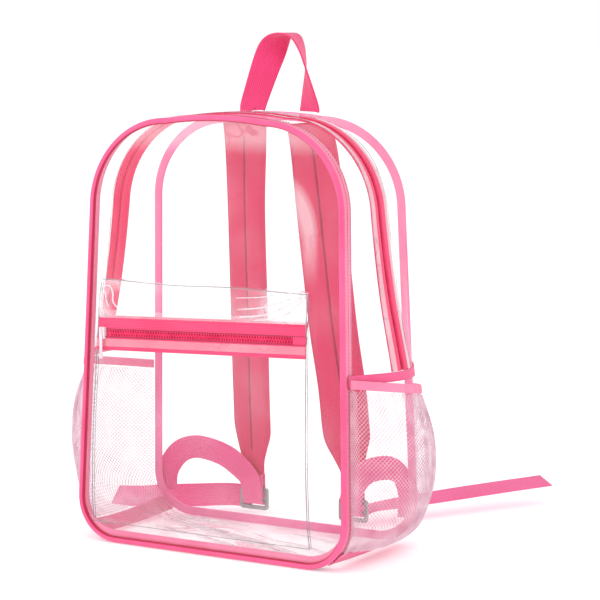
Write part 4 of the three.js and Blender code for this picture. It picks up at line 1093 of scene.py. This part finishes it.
# %% Strap path and profile
BUCKLE_Y = DEPTH_BOTTOM / 2 + BUCKLE_BEHIND
STRAP_ROWS = [
    (0.000, 0.00, 0.000, 0, 1.00, 0.00), (0.080, 0.13, 0.105, 6, 1.00, 1.00),
    (0.230, 0.29, 0.200, 12, 1.00, 1.00), (0.460, 0.48, 0.380, 12, 1.00, 1.00),
    (0.570, 0.59, 0.485, 12, 1.00, 1.00), (0.700, 0.76, 0.650, 12, 1.00, 1.00),
    (0.810, 0.84, 0.760, 12, 1.00, 1.00), (0.850, 0.87, 0.810, 10, 0.88, 0.90),
    (0.890, 0.93, 0.860, 6, 0.48, 0.55), (0.930, 0.98, 0.930, 2, 0.12, 0.20),
    (0.965, 1.00, 1.000, 0, 0.00, 0.00), (1.000, 1.00, 1.000, 0, 0.00, 0.00),
]
PADDED_PROFILE = mirrored([(-1, 0.22), (-0.97, 0.36), (-0.90, 0.45), (-0.84, 0.80), (-0.66, 0.98),
                           (-0.4, 1.0), (-0.16, 0.92), (-0.05, 0.66), (0, 0.6)])


def strap_rows(sign):
    """Middle, width direction and section sizes of a shoulder strap at its rows."""
    at, across, away, lean, wide, thick = np.array(STRAP_ROWS).T
    z = mix(STRAP_TOP, STRAP_TIP, at)
    a = np.radians(lean)
    seat = depth_at(z) / 2 + GAP + STRAP_TIP_THICKNESS / 2
    return np.stack([sign * mix(STRAP_TOP_ACROSS, BUCKLE_ACROSS, across), mix(seat, BUCKLE_Y, away), z,
                     sign * np.cos(a), np.sin(a), 0 * a, wide, thick], 1)


# %% Shoulder straps and their stitches
CHANNEL = slice(8, 120)
thread_paths, thread_normals = [], []
for side, sign in SIDES:
    rows = smooth_rows(strap_rows(sign), 160)
    middle, wide = rows[:, :3], rows[:, 3:6]
    half_width = mix(STRAP_TIP_WIDTH, STRAP_WIDTH, np.clip(rows[:, 6], 0, 1)) / 2
    half_thickness = mix(STRAP_TIP_THICKNESS, STRAP_THICKNESS, np.clip(rows[:, 7], 0, 1)) / 2
    points = strip(middle, wide, half_width, half_thickness, PADDED_PROFILE)
    piece = add_tube(f"strap_padding_{side}", points, STRAP_CLOTH, [f"shoulder_strap_{side}"])
    across, normal = strip_frame(middle, wide)
    lift = normal * half_thickness[:, None]
    for face, label in ((-1, "front"), (1, "back")):
        for edge in (-0.93, 0.93):
            thread_paths.append(middle + across * half_width[:, None] * edge + lift * 0.42 * face)
            thread_normals.append(normal * face)
        seam = (middle + lift * 0.62 * face)[CHANNEL]
        points = strip(seam, wide[CHANNEL], 1.3, 0.35, WEBBING_PROFILE)
        add_tube(f"strap_centre_seam_{label}_{side}", points, SEAM_CLOTH)
stitches("strap_stitches", thread_paths, thread_normals, 0.15)

# %% [markdown]
# ## Adjuster webbing
# A ribbed webbing is sewn into the back seam, makes a stiff bow up to the buckle, goes through its lower
# slot and ends loose. A hair or cloth simulation would need many tries to fall as in the photograph. A
# table of rows gives the middle and the width's direction instead, and one smooth curve goes through them.

# %% Rows of the webbing, each a place and the direction of the width
RUN_ROWS = [
    (1.00, 0.36, 0.00, 0, 0.90, 0.00, 0.43), (0.99, 0.66, 0.08, 0, 0.75, 0.00, 0.66),
    (0.87, 0.91, 0.22, 0, 0.35, 0.00, 0.94), (0.70, 1.00, 0.38, 0, 0.00, 0.00, 1.00),
    (0.49, 0.97, 0.50, 0, -0.10, 0.00, 1.00), (0.28, 0.87, 0.61, 0, -0.28, 0.03, 0.96),
    (0.14, 0.72, 0.73, 0, -0.62, 0.06, 0.78), (0.04, 0.56, 0.84, 0, -0.90, 0.03, 0.40),
    (0.00, 0.41, 1.00, 1, -1.00, 0.00, 0.05),
]
SLOT_ROWS = [(-0.84, 1.00), (-0.72, 0.59), (-0.53, 0.24), (-0.25, 0.04), (0.19, 0.00)]
TAIL_REACH = {"right": (127, 212, 23), "left": (160, 36, 14.5)}
TAIL_ROWS = {
    "right": [
        (0.00, 0.024, 0.50, -1.00, 0.02, 0.02), (0.08, 0.106, 0.67, -0.82, 0.49, 0.07),
        (0.25, 0.271, 0.76, -0.82, 0.49, 0.22), (0.50, 0.514, 0.86, -0.82, 0.49, 0.29),
        (0.75, 0.757, 0.94, -0.82, 0.49, 0.29), (1.00, 1.000, 1.00, -0.82, 0.49, 0.29)],
    "left": [
        (0.006, 0.14, 0.79, -0.95, 0.10, 0.30), (0.044, 0.25, 0.93, -0.50, 0.20, 0.85),
        (0.125, 0.29, 1.02, -0.10, 0.00, 1.00), (0.240, 0.15, 1.05, 0.00, 0.00, 1.00),
        (0.420, -0.30, 0.98, 0.00, 0.15, 0.99), (0.600, -0.65, 0.88, 0.00, 0.35, 0.94),
        (0.800, -0.85, 0.70, 0.00, 0.60, 0.80), (1.000, -0.90, 0.60, 0.00, 0.75, 0.66)],
}
SLOT_Z = BUCKLE_BASE + BUCKLE_BAR + LOWER_SLOT / 2


def webbing_rows(side, sign):
    """Middle and width direction from the back seam over the bow, through the buckle, along the free end."""
    rows = []
    for across, up, away, front, wx, wy, wz in RUN_ROWS:
        z = BOW_HEIGHT * up
        seat = depth_at(z) / 2 + 2 * GAP + WEBBING_THICKNESS / 2
        y = mix(seat, BUCKLE_Y, away) - front * SLOT_STANDOFF
        rows.append((sign * mix(BUCKLE_ACROSS, WEBBING_SEAM, across), y, z, sign * wx, wy, wz))
    for behind, above in SLOT_ROWS:
        y, z = BUCKLE_Y + SLOT_STANDOFF * behind, SLOT_Z + SLOT_LEAD * above
        rows.append((sign * BUCKLE_ACROSS, y, z, -sign, 0, 0))
    reach_x, reach_y, reach_z = TAIL_REACH[side]
    for across, back, high, wx, wy, wz in TAIL_ROWS[side]:
        x = sign * (BUCKLE_ACROSS + reach_x * across)
        rows.append((x, BUCKLE_Y + reach_y * back, reach_z * high, sign * wx, wy, wz))
    return rows


def ribbon(name, rows, count, width, thickness, node, material=WEBBING_CLOTH):
    """A flat webbing carried along its rows."""
    rows = smooth_rows(rows, count)
    points = strip(rows[:, :3], rows[:, 3:6], width / 2, thickness / 2, WEBBING_PROFILE)
    add_tube(name, points, material, [node])


for side, sign in SIDES:
    ribbon(f"adjuster_{side}", webbing_rows(side, sign), 300, WEBBING_WIDTH, WEBBING_THICKNESS,
           f"adjuster_webbing_{side}")

# %% [markdown]
# ## Buckles and tabs
# A moulded buckle joins strap and webbing: a short tab is sewn on both faces of the strap's tip and goes
# round the upper bar. The buckle's own CAD shape is already right, so it stays and only gets its plastic.
# The tab is one more ribbon, whose rows go down one face, round the bar in five steps and up the other.

# %% Buckle tabs
UPPER_BAR = BUCKLE_BASE + 2 * BUCKLE_BAR + LOWER_SLOT + UPPER_SLOT + BUCKLE_BAR / 2
CLASP = (STRAP_TIP_THICKNESS + WEBBING_THICKNESS) / 2 + GAP
BAR_CLEARANCE = 1.8
reach_y, reach_z = BUCKLE_THICKNESS / 2 + BAR_CLEARANCE, BUCKLE_BAR / 2 + BAR_CLEARANCE
tab_top = STRAP_TIP + TAB_LENGTH
tab_low = mix(STRAP_TIP, tab_top, 0.2)
places = [(-CLASP, tab_top), (-CLASP, tab_low)]
for angle in np.radians([180, 225, 270, 315, 360]):
    places.append((reach_y * math.cos(angle), UPPER_BAR + reach_z * math.sin(angle)))
places += [(CLASP, tab_low), (CLASP, tab_top)]
for side, sign in SIDES:
    rows = [(sign * BUCKLE_ACROSS, BUCKLE_Y + y, z, -sign, 0, 0) for y, z in places]
    ribbon(f"tab_{side}", rows, 80, WEBBING_WIDTH - 1, WEBBING_THICKNESS, f"buckle_tab_{side}")
    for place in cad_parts[f"buckle_{side}"].material_slots:
        place.material = BUCKLE_PLASTIC

# %% [markdown]
# ## Haul handle
# The haul handle is a loop of wide webbing sewn to the back seam, and it leans and twists a little because
# its ends are set apart. An arch with a twist modifier would come close. Rows with a lean in degrees are
# used again, since the photograph shows where the loop turns its face.

# %% Haul handle
HANDLE_ROWS = [
    (-1.00, 0.00, 0), (-1.00, 0.06, 0), (-0.76, 0.34, 6), (-0.46, 0.66, 20), (-0.18, 0.88, 48),
    (0.16, 1.00, 82), (0.50, 0.96, 98), (0.72, 0.80, 108), (0.86, 0.56, 120), (0.94, 0.29, 140),
    (1.00, 0.06, 158), (1.00, 0.00, 160),
]
HANDLE_Y = DEPTH_TOP / 2 - BINDING_THICKNESS / 2
rows = []
for across, up, lean in HANDLE_ROWS:
    a = math.radians(lean)
    rows.append((HANDLE_OFFSET + across * HANDLE_SPAN / 2, HANDLE_Y, HEIGHT + GAP + HANDLE_HEIGHT * up,
                 math.cos(a), math.sin(a), 0))
ribbon("handle_webbing", rows, 160, HANDLE_WIDTH, HANDLE_THICKNESS, "haul_handle", HANDLE_CLOTH)

# %% [markdown]
# ## Stitches on the seams
# Two rows of stitches hold the seam tape, and two hold each tape of the main zipper. They follow the same
# formula as the cloth below them, a little further out, so that they lie on it all round the bag.

# %% Seam stitches
seam_lines = [(WHOLE, behind, -0.4, 1.0) for behind in (9.5, 15.5)]
for shift in (2 - TAPE_EDGE, 8 - TAPE_EDGE, TAPE_EDGE - 8, TAPE_EDGE - 2):
    seam_lines.append((OVER, over_zip + shift, 0.35, 2.0))
paths = [gusset(s, behind, low) for s, behind, low, high in seam_lines]
normals = [unit(gusset(s, behind, high) - path) for (s, behind, low, high), path in zip(seam_lines, paths)]
stitches("seam_stitches", paths, normals, 0.1)

# %% [markdown]
# ## Studio
# The bag stands on a white table in even light, which leaves only a faint shadow. A dome picture could
# light it, but a white surround and two large soft lamps give the same even look and nothing to load. The
# floor is almost white and glows slightly, as a lit studio sweep does.


# %% Floor and surround
def studio_floor(half=60, low=-0.0005):
    """A wide pale square just under the bag, in metres."""
    finish = Finish("pale_floor")
    tone = finish.ramp(finish.noise(3.0, 2.0), (0.3, (254, 254, 254)), (0.7, WHITE))
    finish.shade(Base_Color=tone, Roughness=0.9,
                 Emission_Color=(1, 1, 1, 1), Emission_Strength=0.18)
    mesh = bpy.data.meshes.new("floor")
    corners = [(-half, -half, low), (half, -half, low), (half, half, low), (-half, half, low)]
    mesh.from_pydata(corners, [], [(0, 1, 2, 3)])
    mesh.materials.append(finish.material)
    floor = bpy.data.objects.new("floor", mesh)
    bpy.context.collection.objects.link(floor)


studio_floor()
world = bpy.data.worlds.new("surround")
bpy.context.scene.world = world
world.use_nodes = True
world.node_tree.nodes["Background"].inputs["Color"].default_value = (1, 1, 1, 1)
world.node_tree.nodes["Background"].inputs["Strength"].default_value = 1.0


# %% Lights
def aim(thing, place, target):
    """Turns a lamp or camera, which looks down its own -Z, from its place to the target."""
    thing.location = place
    direction = np.array(target) - np.array(place)
    pitch = math.pi / 2 + math.atan2(direction[2], math.hypot(direction[0], direction[1]))
    thing.rotation_euler = (pitch, 0, math.atan2(-direction[0], direction[1]))
    bpy.context.collection.objects.link(thing)


def soft_light(name, place, size, power):
    """A square lamp that looks at the middle of the bag, sizes in metres and power in watts."""
    light = bpy.data.lights.new(name, "AREA")
    light.size = size
    light.energy = power
    aim(bpy.data.objects.new(name, light), place, (0, 0, 0.25))
    print(name, power, "W")


soft_light("key", (-1.6, -2.0, 2.2), 1.4, 21)
soft_light("fill", (2.2, -1.2, 1.4), 1.8, 9)

# %% [markdown]
# ## Camera
# The photograph was taken from the front right, a little above the bag's middle. A camera could be placed
# by eye, but then sizes and view would be confused. Its angles, distance and lens were solved from the
# seams of the bag, so that the outlines agree when the sizes do.

# %% Camera
AZIMUTH, ELEVATION = math.radians(30.075), math.radians(6.967)
DISTANCE, FOCAL_PIXELS, FRAME_PIXELS, SENSOR = 2.1516, 2164.4, 600, 36
TARGET = np.array([0.0634, 0.0008, 0.2517])
lens = bpy.data.cameras.new("camera")
lens.lens = SENSOR * FOCAL_PIXELS / FRAME_PIXELS
lens.sensor_width = lens.sensor_height = SENSOR
lens.sensor_fit = "HORIZONTAL"
lens.clip_end = 100
camera = bpy.data.objects.new("camera", lens)
level = math.cos(ELEVATION)
reach = np.array([math.sin(AZIMUTH) * level, -math.cos(AZIMUTH) * level, math.sin(ELEVATION)])
aim(camera, TARGET + DISTANCE * reach, TARGET)
bpy.context.scene.camera = camera
bpy.context.scene.view_settings.view_transform = "Standard"
print("camera", DISTANCE, "m from its target, lens", round(lens.lens, 1), "mm")
